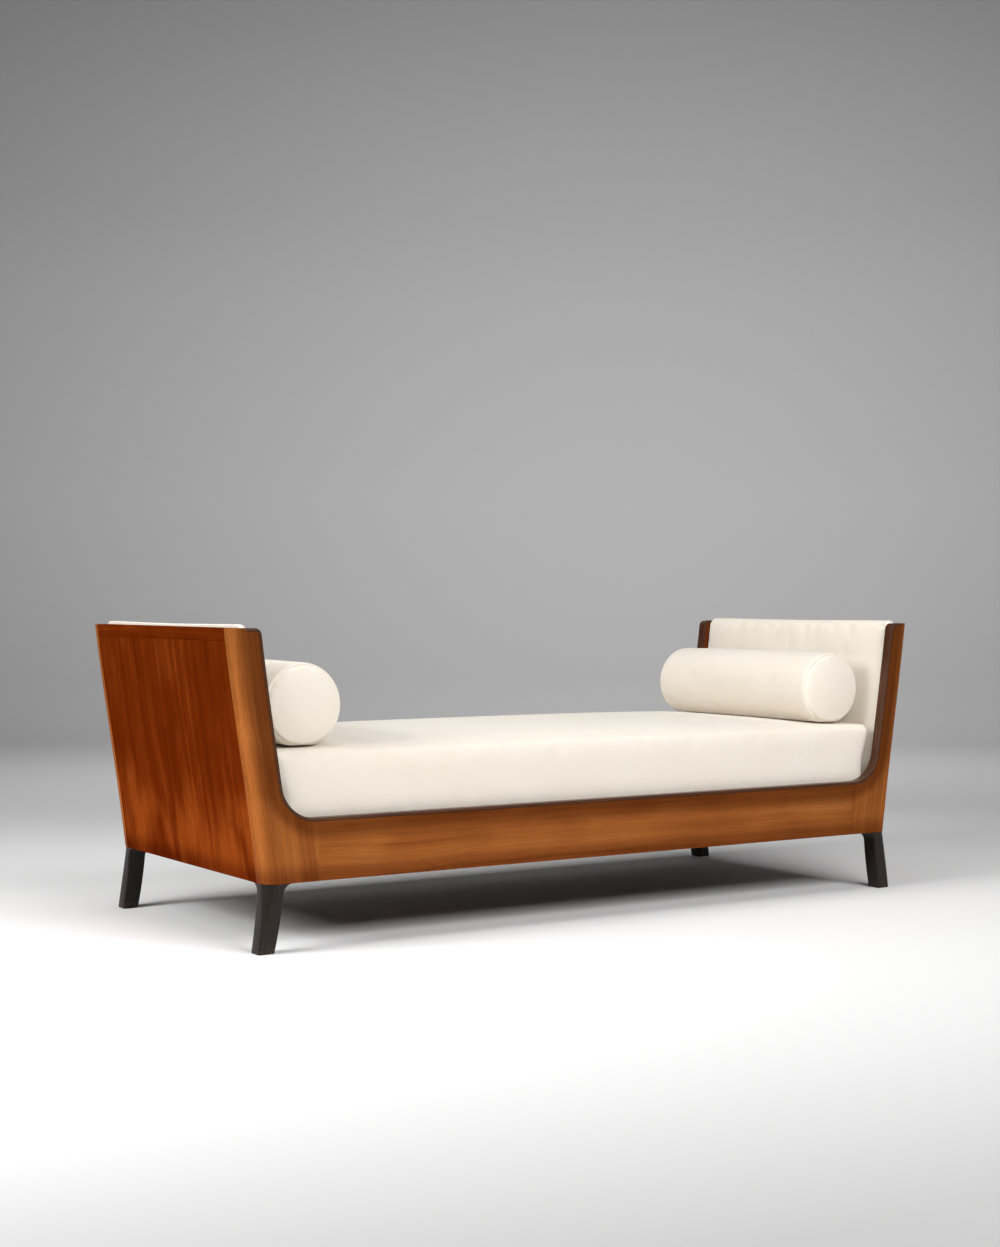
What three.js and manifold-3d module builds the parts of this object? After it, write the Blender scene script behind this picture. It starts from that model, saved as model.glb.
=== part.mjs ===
// A recamier: a low daybed with two raised, outward leaning ends and an open back.
// Millimetres, +Z up. The origin is on the floor under the middle of the frame,
// +X runs along the length, +Y runs from the front to the back.
import * as THREE from 'three';
import { mergeVertices } from 'three/addons/utils/BufferGeometryUtils.js';
import Module from 'manifold-3d';

const wasm = await Module();
wasm.setup();

// Overall sizes
const woodHeight = 760;
const frameDepth = 871;
const topLength = 2152;
const endFlare = 86;
const straightShare = 0.85;

// Clearances
const fitGap = 0.3;
const overrun = 5;
const weld = 0.001;

// Long rails and corner posts
const legHeight = 163;
const railHeight = 149;
const plankThickness = 26;
const postWidth = 74;
const cornerRadius = 38;
const cornerLand = 8;
const kneeRadius = 90;
const earRadius = 10;
const railLand = 8;
const tenonThickness = 10;
const tenonLength = 40;
const tenonShoulder = 22;

// Dark bead that covers the inner edge of the planks
const beadThickness = 8;
const beadProud = 1.5;
const beadRound = 2.5;

// Ends
const panelThickness = 22;
const tongueThickness = 8;
const tongueLength = 9;
const boardThickness = 12;
const boardRise = 15;
const crestHeight = 30;
const crossThickness = 25;
const crossHeight = 95;
const crossTenonThickness = 8;
const crossTenonLength = 16;
const crossTenonHeight = 46;
const crossTenonInset = 2;

// Bed base
const mattressSink = 31;
const slatThickness = 15;
const slatWidth = 68;
const slatRound = 4;
const slatCount = 14;
const slatMargin = 5;
const ledgerWidth = 22;
const ledgerHeight = 28;
const bearerWidth = 45;
const bearerHeight = 60;
const bearerHousing = 12;
const blockSize = 60;
const blockBlunt = 12;

// Sabre legs
const footSize = 42;
const footRadius = 7;
const innerRadius = 3;
const legTaper = 8;
const legInset = 1.5;
const footSweep = 16;
const footTuck = 7.5;
const sweepPower = 1.7;
const boltDiameter = 8;
const boltLength = 74;
const boltChamfer = 1;
const boltSetIn = 21;
const boltSetBack = 25;

// Mattress
const mattressHeight = 188;
const mattressCrown = 20;
const mattressTopRound = 22;
const mattressFootRound = 16;
const mattressCorner = 30;
const mattressSideGap = 6;
const mattressEndGap = 2;
const mattressDraw = 5;
const mattressWaist = 4;

// End pads
const padEdge = 24;
const padCrown = 16;
const padRise = 8;
const padRound = 14;
const padBackRound = 3;
const padBackCut = 12;
const padCorner = 24;
const padDraw = 2;

// Bolsters
const bolsterDiameter = 204;
const bolsterLength = 700;
const bolsterStandoff = 25;
const bolsterForward = 15;
const bolsterRound = 18;
const bolsterBulge = 12;
const bolsterSeam = 2;
const bolsterSeamFoot = 6;
const bolsterShoulder = 34;
const bolsterSwell = 3;
const bolsterFlatShare = 0.93;

// Rings of the soft forms: on a cushion's back and crown, and on a bolster's end, seam and swell
const backRingShare = 0.5;
const crownRingShares = [0.86, 0.66, 0.42, 0.18];
const discRingShares = [
  { radiusShare: 0.3, bulgeShare: 0 },
  { radiusShare: 0.7, bulgeShare: 0.25 },
  { radiusShare: 1, bulgeShare: 1 },
];
const seamTopShare = 0.25;
const seamFootShare = 0.33;
const swellLeftShare = 0.33;

// Facets
const arcSteps = 6;
const kneeSteps = 8;
const smallArcSteps = 2;
const cushionArcSteps = 4;
const leanSteps = 16;
const boltSides = 12;
const bolsterSides = 28;
const mattressLongSteps = 9;
const mattressShortSteps = 5;
const padLongSteps = 7;
const padShortSteps = 6;

// Passes and steps of the search for a bolster's seat
const seatPasses = 4;
const seatSteps = 36;

// Sizes that follow from the ones above
const halfDepth = frameDepth / 2;
const railTop = legHeight + railHeight;
const woodRailTop = railTop - beadThickness;
const stockWidth = panelThickness + fitGap + boardThickness;
const stockDepth = cornerRadius + cornerLand;
const plankInside = halfDepth - plankThickness;
const stockInside = halfDepth - stockDepth;
const mattressBottom = railTop - mattressSink;
const slatSeat = mattressBottom - slatThickness;
const ledgerBottom = slatSeat - ledgerHeight;
const crossBottom = slatSeat - crossHeight;
const crestBottom = woodHeight - crestHeight;
const boardBottom = mattressBottom + boardRise;
const padTop = woodHeight + padRise;
const bolsterRadius = bolsterDiameter / 2;

// Half the length of the frame at a height: a lean with a slight double curve
const endRise = woodHeight - legHeight;
const waistHalf = topLength / 2 - endFlare;
function halfLength(z) {
  const t = (z - legHeight) / endRise;
  const eased = t * t * (3 - 2 * t);
  return waistHalf + endFlare * (straightShare * t + (1 - straightShare) * eased);
}
function leanSlope(z) {
  const t = (z - legHeight) / endRise;
  return (endFlare / endRise) * (straightShare + (1 - straightShare) * 6 * t * (1 - t));
}
const crossInside = halfLength(crossBottom) - panelThickness - fitGap - crossThickness;

// Heights at which every leaning piece has a corner, so that neighbours have the same facets
function stations(low, high) {
  const inner = [];
  for (let i = -1; i <= leanSteps + 1; i++) {
    const z = legHeight + (endRise * i) / leanSteps;
    if (z > low + weld && z < high - weld) inner.push(z);
  }
  return [low, ...inner, high];
}

const materials = {
  rail: new THREE.MeshStandardMaterial({ color: 0x9a562a, roughness: 0.22, metalness: 0 }),
  panel: new THREE.MeshStandardMaterial({ color: 0x6b2710, roughness: 0.2, metalness: 0 }),
  bead: new THREE.MeshStandardMaterial({ color: 0x3a1c0c, roughness: 0.25, metalness: 0 }),
  leg: new THREE.MeshStandardMaterial({ color: 0x1b1817, roughness: 0.35, metalness: 0 }),
  base: new THREE.MeshStandardMaterial({ color: 0x2c211a, roughness: 0.6, metalness: 0 }),
  board: new THREE.MeshStandardMaterial({ color: 0xb8925e, roughness: 0.75, metalness: 0 }),
  steel: new THREE.MeshStandardMaterial({ color: 0x9b9b98, roughness: 0.4, metalness: 1 }),
  cloth: new THREE.MeshStandardMaterial({ color: 0xf1e6d2, roughness: 0.95, metalness: 0 }),
};

// Geometry with shared vertices, from corners and triangles, turned to face outwards
function closedGeometry(corners, triangles) {
  let sixVolumes = 0;
  const [a, b, c] = [new THREE.Vector3(), new THREE.Vector3(), new THREE.Vector3()];
  for (const [i, j, k] of triangles) {
    a.copy(corners[i]);
    b.copy(corners[j]);
    c.copy(corners[k]);
    sixVolumes += a.dot(b.cross(c));
  }
  const facing = sixVolumes < 0 ? triangles.map(([i, j, k]) => [i, k, j]) : triangles;
  const geometry = new THREE.BufferGeometry();
  const places = corners.flatMap((p) => [p.x, p.y, p.z]);
  geometry.setAttribute('position', new THREE.Float32BufferAttribute(places, 3));
  geometry.setIndex(facing.flat());
  return geometry;
}

// The triangles between rings that all have the same number of corners
function wallTriangles(ringCount, size) {
  const triangles = [];
  for (let i = 0; i + 1 < ringCount; i++) {
    for (let j = 0; j < size; j++) {
      const here = i * size + j;
      const next = i * size + ((j + 1) % size);
      triangles.push([here, next, next + size], [here, next + size, here + size]);
    }
  }
  return triangles;
}

// A solid through copies of one flat section, each set in space by its own place function
function sweep(outline, places) {
  const section = THREE.ShapeUtils.isClockWise(outline) ? [...outline].reverse() : outline;
  const corners = places.flatMap((place) => section.map((p) => place(p.x, p.y)));
  const size = section.length;
  const last = (places.length - 1) * size;
  const cap = THREE.ShapeUtils.triangulateShape(section, []);
  const triangles = wallTriangles(places.length, size);
  for (const [i, j, k] of cap) {
    triangles.push([i, k, j], [last + i, last + j, last + k]);
  }
  return closedGeometry(corners, triangles);
}

// A soft closed form through rings, closed at each end by a fan to the middle of its last ring
function puff(rings) {
  const size = rings[0].length;
  const corners = rings.flat();
  const triangles = wallTriangles(rings.length, size);
  const middleOf = (ring) =>
    ring.reduce((sum, p) => sum.add(p), new THREE.Vector3()).divideScalar(size);
  const first = corners.push(middleOf(rings[0])) - 1;
  const end = corners.push(middleOf(rings.at(-1))) - 1;
  const last = (rings.length - 1) * size;
  for (let j = 0; j < size; j++) {
    const next = (j + 1) % size;
    triangles.push([first, next, j], [end, last + j, last + next]);
  }
  return closedGeometry(corners, triangles);
}

// An outline in X and Z, carried along Y
function alongY(outline, low, high) {
  const geometry = new THREE.ExtrudeGeometry(new THREE.Shape(outline), {
    depth: high - low,
    bevelEnabled: false,
  });
  geometry.rotateX(Math.PI / 2);
  return geometry.translate(0, high, 0);
}

// An outline in X and Y, carried along Z
function alongZ(outline, low, high) {
  const geometry = new THREE.ExtrudeGeometry(new THREE.Shape(outline), {
    depth: high - low,
    bevelEnabled: false,
  });
  return geometry.translate(0, 0, low);
}

function box(low, high) {
  const size = new THREE.Vector3().subVectors(high, low);
  const middle = new THREE.Vector3().addVectors(low, high).multiplyScalar(1 / 2);
  return new THREE.BoxGeometry(size.x, size.y, size.z).translate(middle.x, middle.y, middle.z);
}

const at = (x, y, z) => new THREE.Vector3(x, y, z);
const flat = (x, y) => new THREE.Vector2(x, y);

// Booleans
function solid(geometry) {
  const bare = geometry.clone();
  bare.deleteAttribute('normal');
  bare.deleteAttribute('uv');
  const merged = mergeVertices(bare, weld);
  return new wasm.Manifold(
    new wasm.Mesh({
      numProp: 3,
      vertProperties: merged.attributes.position.array,
      triVerts: new Uint32Array(merged.index.array),
    }),
  );
}
function geometryOf(manifold) {
  const mesh = manifold.getMesh();
  const geometry = new THREE.BufferGeometry();
  geometry.setAttribute('position', new THREE.BufferAttribute(mesh.vertProperties, 3));
  geometry.setIndex(new THREE.BufferAttribute(mesh.triVerts, 1));
  return geometry;
}
function joined(first, ...others) {
  return geometryOf(others.reduce((sum, g) => sum.add(solid(g)), solid(first)));
}
function cut(first, ...cutters) {
  return geometryOf(cutters.reduce((rest, g) => rest.subtract(solid(g)), solid(first)));
}
function shared(first, second) {
  return geometryOf(solid(first).intersect(solid(second)));
}

// A band that follows the lean of the ends, between two depths in from the outer face
function leaningBand(outer, inner, low, high) {
  const heights = stations(low, high);
  const outside = heights.map((z) => flat(halfLength(z) - outer, z));
  const inside = heights.map((z) => flat(halfLength(z) - inner, z)).reverse();
  return [...outside, ...inside];
}

// Corner points of an arc, both ends included
function arc(centre, radius, from, to, steps = arcSteps) {
  const points = [];
  for (let i = 0; i <= steps; i++) {
    const angle = from + ((to - from) * i) / steps;
    points.push(flat(centre.x + radius * Math.cos(angle), centre.y + radius * Math.sin(angle)));
  }
  return points;
}

// The inner edge of a plank end, from the top of the post, round its ear, down the lean and
// through the knee to the rail. Each step holds a point and the direction into the wood.
const rightAngle = Math.PI / 2;
function innerEdge() {
  const edgeX = (z) => halfLength(z) - postWidth;
  const steps = [];
  const earOutside = earRadius + beadThickness;
  const earSlope = leanSlope(woodHeight - earOutside);
  const earTurn = Math.atan(earSlope);
  const earEnd = woodHeight - earOutside + earOutside * Math.sin(earTurn);
  const ear = flat(edgeX(earEnd) + earOutside * Math.cos(earTurn), woodHeight - earOutside);
  steps.push({ point: flat(halfLength(woodHeight) - stockWidth - fitGap, woodHeight), into: flat(0, -1) });
  for (let i = 0; i <= arcSteps; i++) {
    const angle = rightAngle + ((rightAngle - earTurn) * i) / arcSteps;
    const out = flat(Math.cos(angle), Math.sin(angle));
    steps.push({
      point: flat(ear.x + earOutside * out.x, ear.y + earOutside * out.y),
      into: flat(-out.x, -out.y),
    });
  }
  const kneeSlope = leanSlope(railTop + kneeRadius);
  const kneeTurn = Math.atan(kneeSlope);
  const kneeEnd = railTop + kneeRadius - kneeRadius * Math.sin(kneeTurn);
  for (const z of stations(kneeEnd, earEnd).slice(1, -1).reverse()) {
    const turn = Math.atan(leanSlope(z));
    steps.push({ point: flat(edgeX(z), z), into: flat(Math.cos(turn), -Math.sin(turn)) });
  }
  const knee = flat(edgeX(kneeEnd) - kneeRadius * Math.cos(kneeTurn), railTop + kneeRadius);
  for (let i = 0; i <= kneeSteps; i++) {
    const angle = -kneeTurn - ((rightAngle - kneeTurn) * i) / kneeSteps;
    const out = flat(Math.cos(angle), Math.sin(angle));
    steps.push({
      point: flat(knee.x + kneeRadius * out.x, knee.y + kneeRadius * out.y),
      into: out,
    });
  }
  steps.push({ point: flat(knee.x - railLand, railTop), into: flat(0, -1) });
  return steps;
}
const edgeSteps = innerEdge();
const jointX = edgeSteps.at(-1).point.x;

// The tenon of a long rail, and with a gap round it the mortise that takes it
function railTenon(gap, inner) {
  const centre = halfDepth - plankThickness / 2;
  const half = tenonThickness / 2 + gap;
  return box(
    at(inner, centre - half, legHeight + tenonShoulder - gap),
    at(jointX + tenonLength + gap, centre + half, woodRailTop - tenonShoulder + gap),
  );
}

// The tongue along each side of an end panel, and with a gap the groove that takes it
function panelTongue(gap, low, high) {
  const outer = (panelThickness - tongueThickness) / 2;
  const band = leaningBand(outer - gap, outer + tongueThickness + gap, low, high);
  return (from, to) => alongY(band, from, to);
}

// The tenon at each end of a cross rail, and with a gap the mortise that takes it
const crossTenonBottom = crossBottom + (crossHeight - crossTenonHeight) / 2;
const boltTop = crossTenonBottom - crossTenonInset;
function crossTenon(gap) {
  const outer = panelThickness + fitGap + crossTenonInset;
  const low = crossTenonBottom - gap;
  const high = crossTenonBottom + crossTenonHeight + gap;
  const band = leaningBand(outer - gap, outer + crossTenonThickness + gap, low, high);
  return (from, to) => alongY(band, from, to);
}

// The bolt that holds a leg, and with a gap the hole for it
const boltX = halfLength(legHeight) - boltSetIn;
const boltY = halfDepth - boltSetBack;
function boltBody(gap) {
  const radius = boltDiameter / 2 + gap;
  const low = boltTop - boltLength - gap;
  const high = boltTop + gap;
  const profile = [
    flat(0, low),
    flat(radius - boltChamfer, low),
    flat(radius, low + boltChamfer),
    flat(radius, high - boltChamfer),
    flat(radius - boltChamfer, high),
    flat(0, high),
  ];
  return new THREE.LatheGeometry(profile, boltSides).rotateX(rightAngle).translate(boltX, boltY, 0);
}

// A corner post: leaning stock with a rounded outer corner, and a plank that turns into the rail
function cornerPost() {
  const outermost = Math.max(halfLength(legHeight), halfLength(woodHeight));
  const reach = outermost - jointX + overrun;
  const corner = flat(cornerRadius, cornerRadius);
  const section = [
    ...arc(corner, cornerRadius, Math.PI + rightAngle, Math.PI),
    flat(0, stockDepth),
    flat(stockWidth, stockDepth),
    flat(stockWidth, plankThickness),
    flat(reach, plankThickness),
    flat(reach, 0),
  ];
  const heights = stations(legHeight - overrun, woodHeight + overrun);
  const places = heights.map((z) => (u, v) => at(halfLength(z) - u, halfDepth - v, z));
  const stock = sweep(section, places);
  const far = outermost + overrun;
  const woodEdge = edgeSteps.map(({ point, into }) =>
    flat(point.x + into.x * beadThickness, point.y + into.y * beadThickness),
  );
  const stepX = woodEdge[0].x + fitGap;
  const outline = [
    flat(far, legHeight),
    flat(far, woodHeight),
    flat(stepX, woodHeight),
    flat(stepX, woodEdge[0].y),
    ...woodEdge,
    flat(jointX, legHeight),
  ];
  const blank = shared(stock, alongY(outline, stockInside - overrun, halfDepth + overrun));
  const groove = panelTongue(fitGap, legHeight - overrun, crestBottom);
  return cut(
    blank,
    railTenon(fitGap, jointX - overrun),
    groove(stockInside - overrun, stockInside + tongueLength + fitGap),
    crossTenon(fitGap)(stockInside - overrun, stockInside + crossTenonLength + fitGap),
    boltBody(fitGap),
  );
}

// The dark bead of one corner: a strip with a rounded nose, swept round the inner edge. The middle
// of a quarter circle stands in from its square corner by a fixed share of the radius.
const roundMiddleShare = 1 - Math.SQRT1_2;
function beadSection() {
  const thickness = beadThickness - fitGap;
  const nose = -beadProud;
  const bend = beadRound;
  return [
    flat(0, plankThickness),
    flat(0, nose + bend),
    flat(bend * roundMiddleShare, nose + bend * roundMiddleShare),
    flat(bend, nose),
    flat(thickness - bend, nose),
    flat(thickness - bend * roundMiddleShare, nose + bend * roundMiddleShare),
    flat(thickness, nose + bend),
    flat(thickness, plankThickness),
  ];
}
function postBead() {
  const places = edgeSteps.map(
    ({ point, into }) =>
      (depth, v) =>
        at(point.x + into.x * depth, halfDepth - v, point.y + into.y * depth),
  );
  return sweep(beadSection(), places);
}
function railBead() {
  const places = [-jointX, jointX].map((x) => (depth, v) => at(x, halfDepth - v, railTop - depth));
  return sweep(beadSection(), places);
}

// A long rail with a tenon at each end
function longRail() {
  const body = box(at(-jointX, plankInside, legHeight), at(jointX, halfDepth, woodRailTop));
  const tenons = railTenon(0, 0);
  const mirrored = tenons.clone().rotateZ(Math.PI).translate(0, 2 * halfDepth - plankThickness, 0);
  return joined(body, tenons, mirrored);
}

// A sabre leg: rounded squares that sweep outwards and spread into a knee under the frame
function sabreLeg() {
  const kneeCurve = postWidth - footSize - legTaper;
  const shank = legHeight - kneeCurve;
  const heights = [];
  for (let i = 0; i < arcSteps; i++) heights.push((shank * i) / arcSteps);
  for (let i = 0; i <= arcSteps; i++) {
    heights.push(shank + kneeCurve * Math.sin((rightAngle * i) / arcSteps));
  }
  const rings = heights.map((z) => {
    const t = z / legHeight;
    const rise = Math.max(0, z - shank);
    const spread = kneeCurve - Math.sqrt(kneeCurve * kneeCurve - rise * rise);
    const size = footSize + (legTaper - legInset) * t + spread;
    const outX = halfLength(legHeight) - legInset + footSweep * (1 - t) ** sweepPower;
    const outY = halfDepth - legInset - footTuck * (1 - t);
    const round = footRadius + (cornerRadius - legInset - footRadius) * t * t;
    const low = flat(outX - size + innerRadius, outY - size + innerRadius);
    const outline = [
      ...arc(flat(outX - round, outY - round), round, 0, rightAngle),
      ...arc(flat(low.x, outY - innerRadius), innerRadius, rightAngle, Math.PI, smallArcSteps),
      ...arc(low, innerRadius, Math.PI, Math.PI + rightAngle, smallArcSteps),
      ...arc(flat(outX - innerRadius, low.y), innerRadius, -rightAngle, 0, smallArcSteps),
    ];
    return outline.map((p) => at(p.x, p.y, z));
  });
  return cut(puff(rings), boltBody(fitGap));
}

// A blunt triangular block glued into each corner, over the leg
function cornerBlock() {
  const outline = [
    flat(crossInside, plankInside),
    flat(crossInside - blockSize, plankInside),
    flat(crossInside - blockSize, plankInside - blockBlunt),
    flat(crossInside - blockBlunt, plankInside - blockSize),
    flat(crossInside, plankInside - blockSize),
  ];
  return alongZ(outline, legHeight, ledgerBottom);
}

// One end: outer panel, crest, inner cross rail and the board that carries the pad
function endPanel() {
  const half = stockInside - fitGap;
  const top = crestBottom - fitGap;
  const body = alongY(leaningBand(0, panelThickness, legHeight, top), -half, half);
  const tongueHalf = stockInside + tongueLength;
  return joined(body, panelTongue(0, legHeight, top)(-tongueHalf, tongueHalf));
}
function crestRail() {
  const half = stockInside - fitGap;
  return alongY(leaningBand(0, stockWidth, crestBottom, woodHeight), -half, half);
}
function padBoard() {
  const half = stockInside - fitGap;
  const band = leaningBand(panelThickness + fitGap, stockWidth, boardBottom, crestBottom - fitGap);
  return alongY(band, -half, half);
}
function bearerBox(gap, reach) {
  const half = bearerWidth / 2 + gap;
  return box(at(-reach, -half, slatSeat - bearerHeight - gap), at(reach, half, slatSeat + gap));
}
function crossRail() {
  const half = stockInside - fitGap;
  const heights = stations(crossBottom, slatSeat);
  const outline = [
    ...heights.map((z) => flat(halfLength(z) - panelThickness - fitGap, z)),
    flat(crossInside, slatSeat),
    flat(crossInside, crossBottom),
  ];
  const tenonHalf = stockInside + crossTenonLength;
  const body = joined(alongY(outline, -half, half), crossTenon(0)(-tenonHalf, tenonHalf));
  return cut(body, bearerBox(fitGap, crossInside + bearerHousing));
}

// Bed base: ledgers along the long rails, a centre bearer and loose slats
function ledger() {
  const half = crossInside - fitGap;
  return box(at(-half, plankInside - ledgerWidth, ledgerBottom), at(half, plankInside, slatSeat));
}
function slat() {
  const half = slatWidth / 2 - slatRound;
  const low = slatRound;
  const high = slatThickness - slatRound;
  const section = [
    ...arc(flat(half, low), slatRound, -rightAngle, 0, smallArcSteps),
    ...arc(flat(half, high), slatRound, 0, rightAngle, smallArcSteps),
    ...arc(flat(-half, high), slatRound, rightAngle, Math.PI, smallArcSteps),
    ...arc(flat(-half, low), slatRound, Math.PI, Math.PI + rightAngle, smallArcSteps),
  ];
  return alongY(section, fitGap - plankInside, plankInside - fitGap);
}

// Corner points round a rectangle with round corners and a few points along its sides
function softOutline(halfA, halfB, corner, stepsA, stepsB) {
  const radius = Math.max(corner, weld);
  const reachA = halfA - radius;
  const reachB = halfB - radius;
  const run = (from, to, steps) => {
    const points = [];
    for (let i = 1; i < steps; i++) {
      const t = i / steps;
      points.push(flat(from.x + (to.x - from.x) * t, from.y + (to.y - from.y) * t));
    }
    return points;
  };
  const bends = [0, 1, 2, 3].map((i) => {
    const centre = flat(i === 0 || i === 3 ? reachA : -reachA, i < 2 ? reachB : -reachB);
    return arc(centre, radius, i * rightAngle, (i + 1) * rightAngle, cushionArcSteps);
  });
  return bends.flatMap((bend, i) => {
    const next = bends[(i + 1) % bends.length];
    return [...bend, ...run(bend.at(-1), next[0], i % 2 === 0 ? stepsA : stepsB)];
  });
}

// Layers of a boxed cushion, from the middle of its back to the middle of its crowned face.
// Each has its inset from the outline, the share of it that is left, its level, and whether the
// crown lifts it.
function cushionLayers(thickness, backRound, faceRound, waist) {
  const layers = [{ inset: backRound, share: backRingShare, level: 0, crowned: false }];
  for (let i = 0; i <= smallArcSteps; i++) {
    const turn = (rightAngle * i) / smallArcSteps;
    layers.push({
      inset: backRound * (1 - Math.sin(turn)),
      share: 1,
      level: backRound * (1 - Math.cos(turn)),
      crowned: false,
    });
  }
  const faceStart = thickness - faceRound;
  layers.push({ inset: waist, share: 1, level: (backRound + faceStart) / 2, crowned: false });
  for (let i = 0; i <= cushionArcSteps; i++) {
    const turn = (rightAngle * i) / cushionArcSteps;
    layers.push({
      inset: faceRound * (1 - Math.cos(turn)),
      share: 1,
      level: faceStart + faceRound * Math.sin(turn),
      crowned: true,
    });
  }
  for (const share of crownRingShares) {
    layers.push({ inset: faceRound, share, level: thickness, crowned: true });
  }
  return layers;
}

// How far the crown stands at a place on the face, as a share: 1 in the middle, 0 at the edge
function crownShare(a, b) {
  return (1 - Math.min(1, Math.abs(a)) ** 3) * (1 - Math.min(1, Math.abs(b)) ** 3);
}
// How far a side is drawn in at a place between its corners, as a share
function drawnShare(t) {
  return Math.cos(rightAngle * Math.min(1, Math.abs(t))) ** 2;
}

function boxedCushion({ halfA, halfB, corner, draw, crown, stepsA, stepsB, layers, place }) {
  const rings = layers.map(({ inset, share, level, crowned }) => {
    const outline = softOutline(halfA - inset, halfB - inset, corner - inset, stepsA, stepsB);
    return outline.map((p) => {
      const a = (p.x * share) / halfA;
      const b = (p.y * share) / halfB;
      const drawnA = p.x * share - Math.sign(p.x) * Math.abs(a) * draw * drawnShare(b);
      const drawnB = p.y * share - Math.sign(p.y) * Math.abs(b) * draw * drawnShare(a);
      const lift = crowned ? crown * crownShare(a, b) : 0;
      return place(drawnA, drawnB, level + lift);
    });
  });
  return puff(rings);
}

// The mattress leans at its ends as the frame does, so that it fills the well
const mattressHalfWidth = plankInside - mattressSideGap;
function mattressHalfLength(z) {
  return halfLength(z) - postWidth - mattressEndGap;
}
function mattress() {
  const halfA = mattressHalfLength(mattressBottom);
  return boxedCushion({
    halfA,
    halfB: mattressHalfWidth,
    corner: mattressCorner,
    draw: mattressDraw,
    crown: mattressCrown,
    stepsA: mattressLongSteps,
    stepsB: mattressShortSteps,
    layers: cushionLayers(mattressHeight, mattressFootRound, mattressTopRound, mattressWaist),
    place: (a, b, level) => {
      const z = mattressBottom + fitGap + level;
      return at((a * mattressHalfLength(z)) / halfA, b, z);
    },
  });
}

// An end pad: a crowned cushion that leans with the end and stands a little above it. Its back
// is made too deep and then cut to the board's own facets.
const padHalfHeight = (padTop - boardBottom) / 2;
const padMiddle = boardBottom + padHalfHeight;
const padHalfWidth = plankInside - fitGap;
function endPad() {
  const rough = boxedCushion({
    halfA: padHalfWidth,
    halfB: padHalfHeight,
    corner: padCorner,
    draw: padDraw,
    crown: padCrown,
    stepsA: padLongSteps,
    stepsB: padShortSteps,
    layers: cushionLayers(padEdge + padBackCut, padBackRound, padRound, 0),
    place: (a, b, level) => {
      const z = padMiddle + b;
      return at(halfLength(z) - stockWidth - fitGap + padBackCut - level, a, z);
    },
  });
  const reach = padHalfWidth + overrun;
  const back = leaningBand(-overrun, stockWidth + fitGap, boardBottom - overrun, padTop + overrun);
  return cut(rough, alongY(back, -reach, reach));
}
function padFace(z) {
  const crown = padCrown * crownShare(0, (z - padMiddle) / padHalfHeight);
  return halfLength(z) - stockWidth - fitGap - padEdge - crown;
}

// A bolster lies on the mattress near the pad, with a seam round each soft end. Its place is
// found in a few passes, because the mattress is lower near its ends.
function bolsterSeat() {
  const topHalf = mattressHalfLength(mattressBottom + mattressHeight);
  const flatHalf = bolsterRadius * Math.sqrt(1 - bolsterFlatShare ** 2);
  const mattressTop = (x) =>
    mattressBottom + fitGap + mattressHeight + mattressCrown * crownShare(x / topHalf, 0);
  const seat = at(padFace(railTop) - bolsterDiameter, -bolsterForward, 0);
  for (let pass = 0; pass < seatPasses; pass++) {
    seat.z = mattressTop(seat.x - flatHalf) + fitGap + bolsterRadius * bolsterFlatShare;
    let x = halfLength(woodHeight);
    for (let i = 0; i <= seatSteps; i++) {
      const angle = rightAngle * ((2 * i) / seatSteps - 1);
      const height = seat.z + bolsterRadius * Math.sin(angle);
      x = Math.min(x, padFace(height) - bolsterRadius * Math.cos(angle));
    }
    seat.x = x - bolsterStandoff;
  }
  return seat;
}
function bolster() {
  const seat = bolsterSeat();
  const half = bolsterLength / 2;
  const inner = bolsterRadius - bolsterRound;
  const rim = half - bolsterBulge;
  const side = [
    ...discRingShares.map(({ radiusShare, bulgeShare }) => ({
      radius: inner * radiusShare,
      y: half - bolsterBulge * bulgeShare,
    })),
    { radius: bolsterRadius - bolsterRound * seamTopShare, y: rim - bolsterSeam },
    { radius: bolsterRadius - bolsterRound * seamFootShare, y: rim - bolsterSeamFoot },
    { radius: bolsterRadius - bolsterSwell, y: rim - bolsterShoulder },
    { radius: bolsterRadius - bolsterSwell * swellLeftShare, y: half / 2 },
  ];
  const far = side.map(({ radius, y }) => ({ radius, y: -y })).reverse();
  const rings = [...side, { radius: bolsterRadius, y: 0 }, ...far].map(({ radius, y }) => {
    const ring = [];
    for (let i = 0; i < bolsterSides; i++) {
      const angle = (2 * Math.PI * i) / bolsterSides;
      const low = -bolsterRadius * bolsterFlatShare;
      const rise = Math.max(radius * Math.sin(angle), low);
      ring.push(at(seat.x + radius * Math.cos(angle), seat.y + y, seat.z + rise));
    }
    return ring;
  });
  return puff(rings);
}

// Assembly
function piece(name, geometry, material) {
  const mesh = new THREE.Mesh(geometry, material);
  mesh.name = name;
  return mesh;
}

function cornerPieces(name) {
  const group = new THREE.Group();
  group.add(
    piece(`${name}_post`, cornerPost(), materials.rail),
    piece(`${name}_post_bead`, postBead(), materials.bead),
    piece(`${name}_leg`, sabreLeg(), materials.leg),
    piece(`${name}_leg_bolt`, boltBody(0), materials.steel),
    piece(`${name}_corner_block`, cornerBlock(), materials.base),
  );
  return group;
}

function endPieces(name) {
  const group = new THREE.Group();
  group.add(
    piece(`${name}_end_panel`, endPanel(), materials.panel),
    piece(`${name}_crest_rail`, crestRail(), materials.panel),
    piece(`${name}_pad_board`, padBoard(), materials.board),
    piece(`${name}_cross_rail`, crossRail(), materials.base),
    piece(`${name}_end_pad`, endPad(), materials.cloth),
    piece(`${name}_bolster`, bolster(), materials.cloth),
  );
  return group;
}

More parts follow.
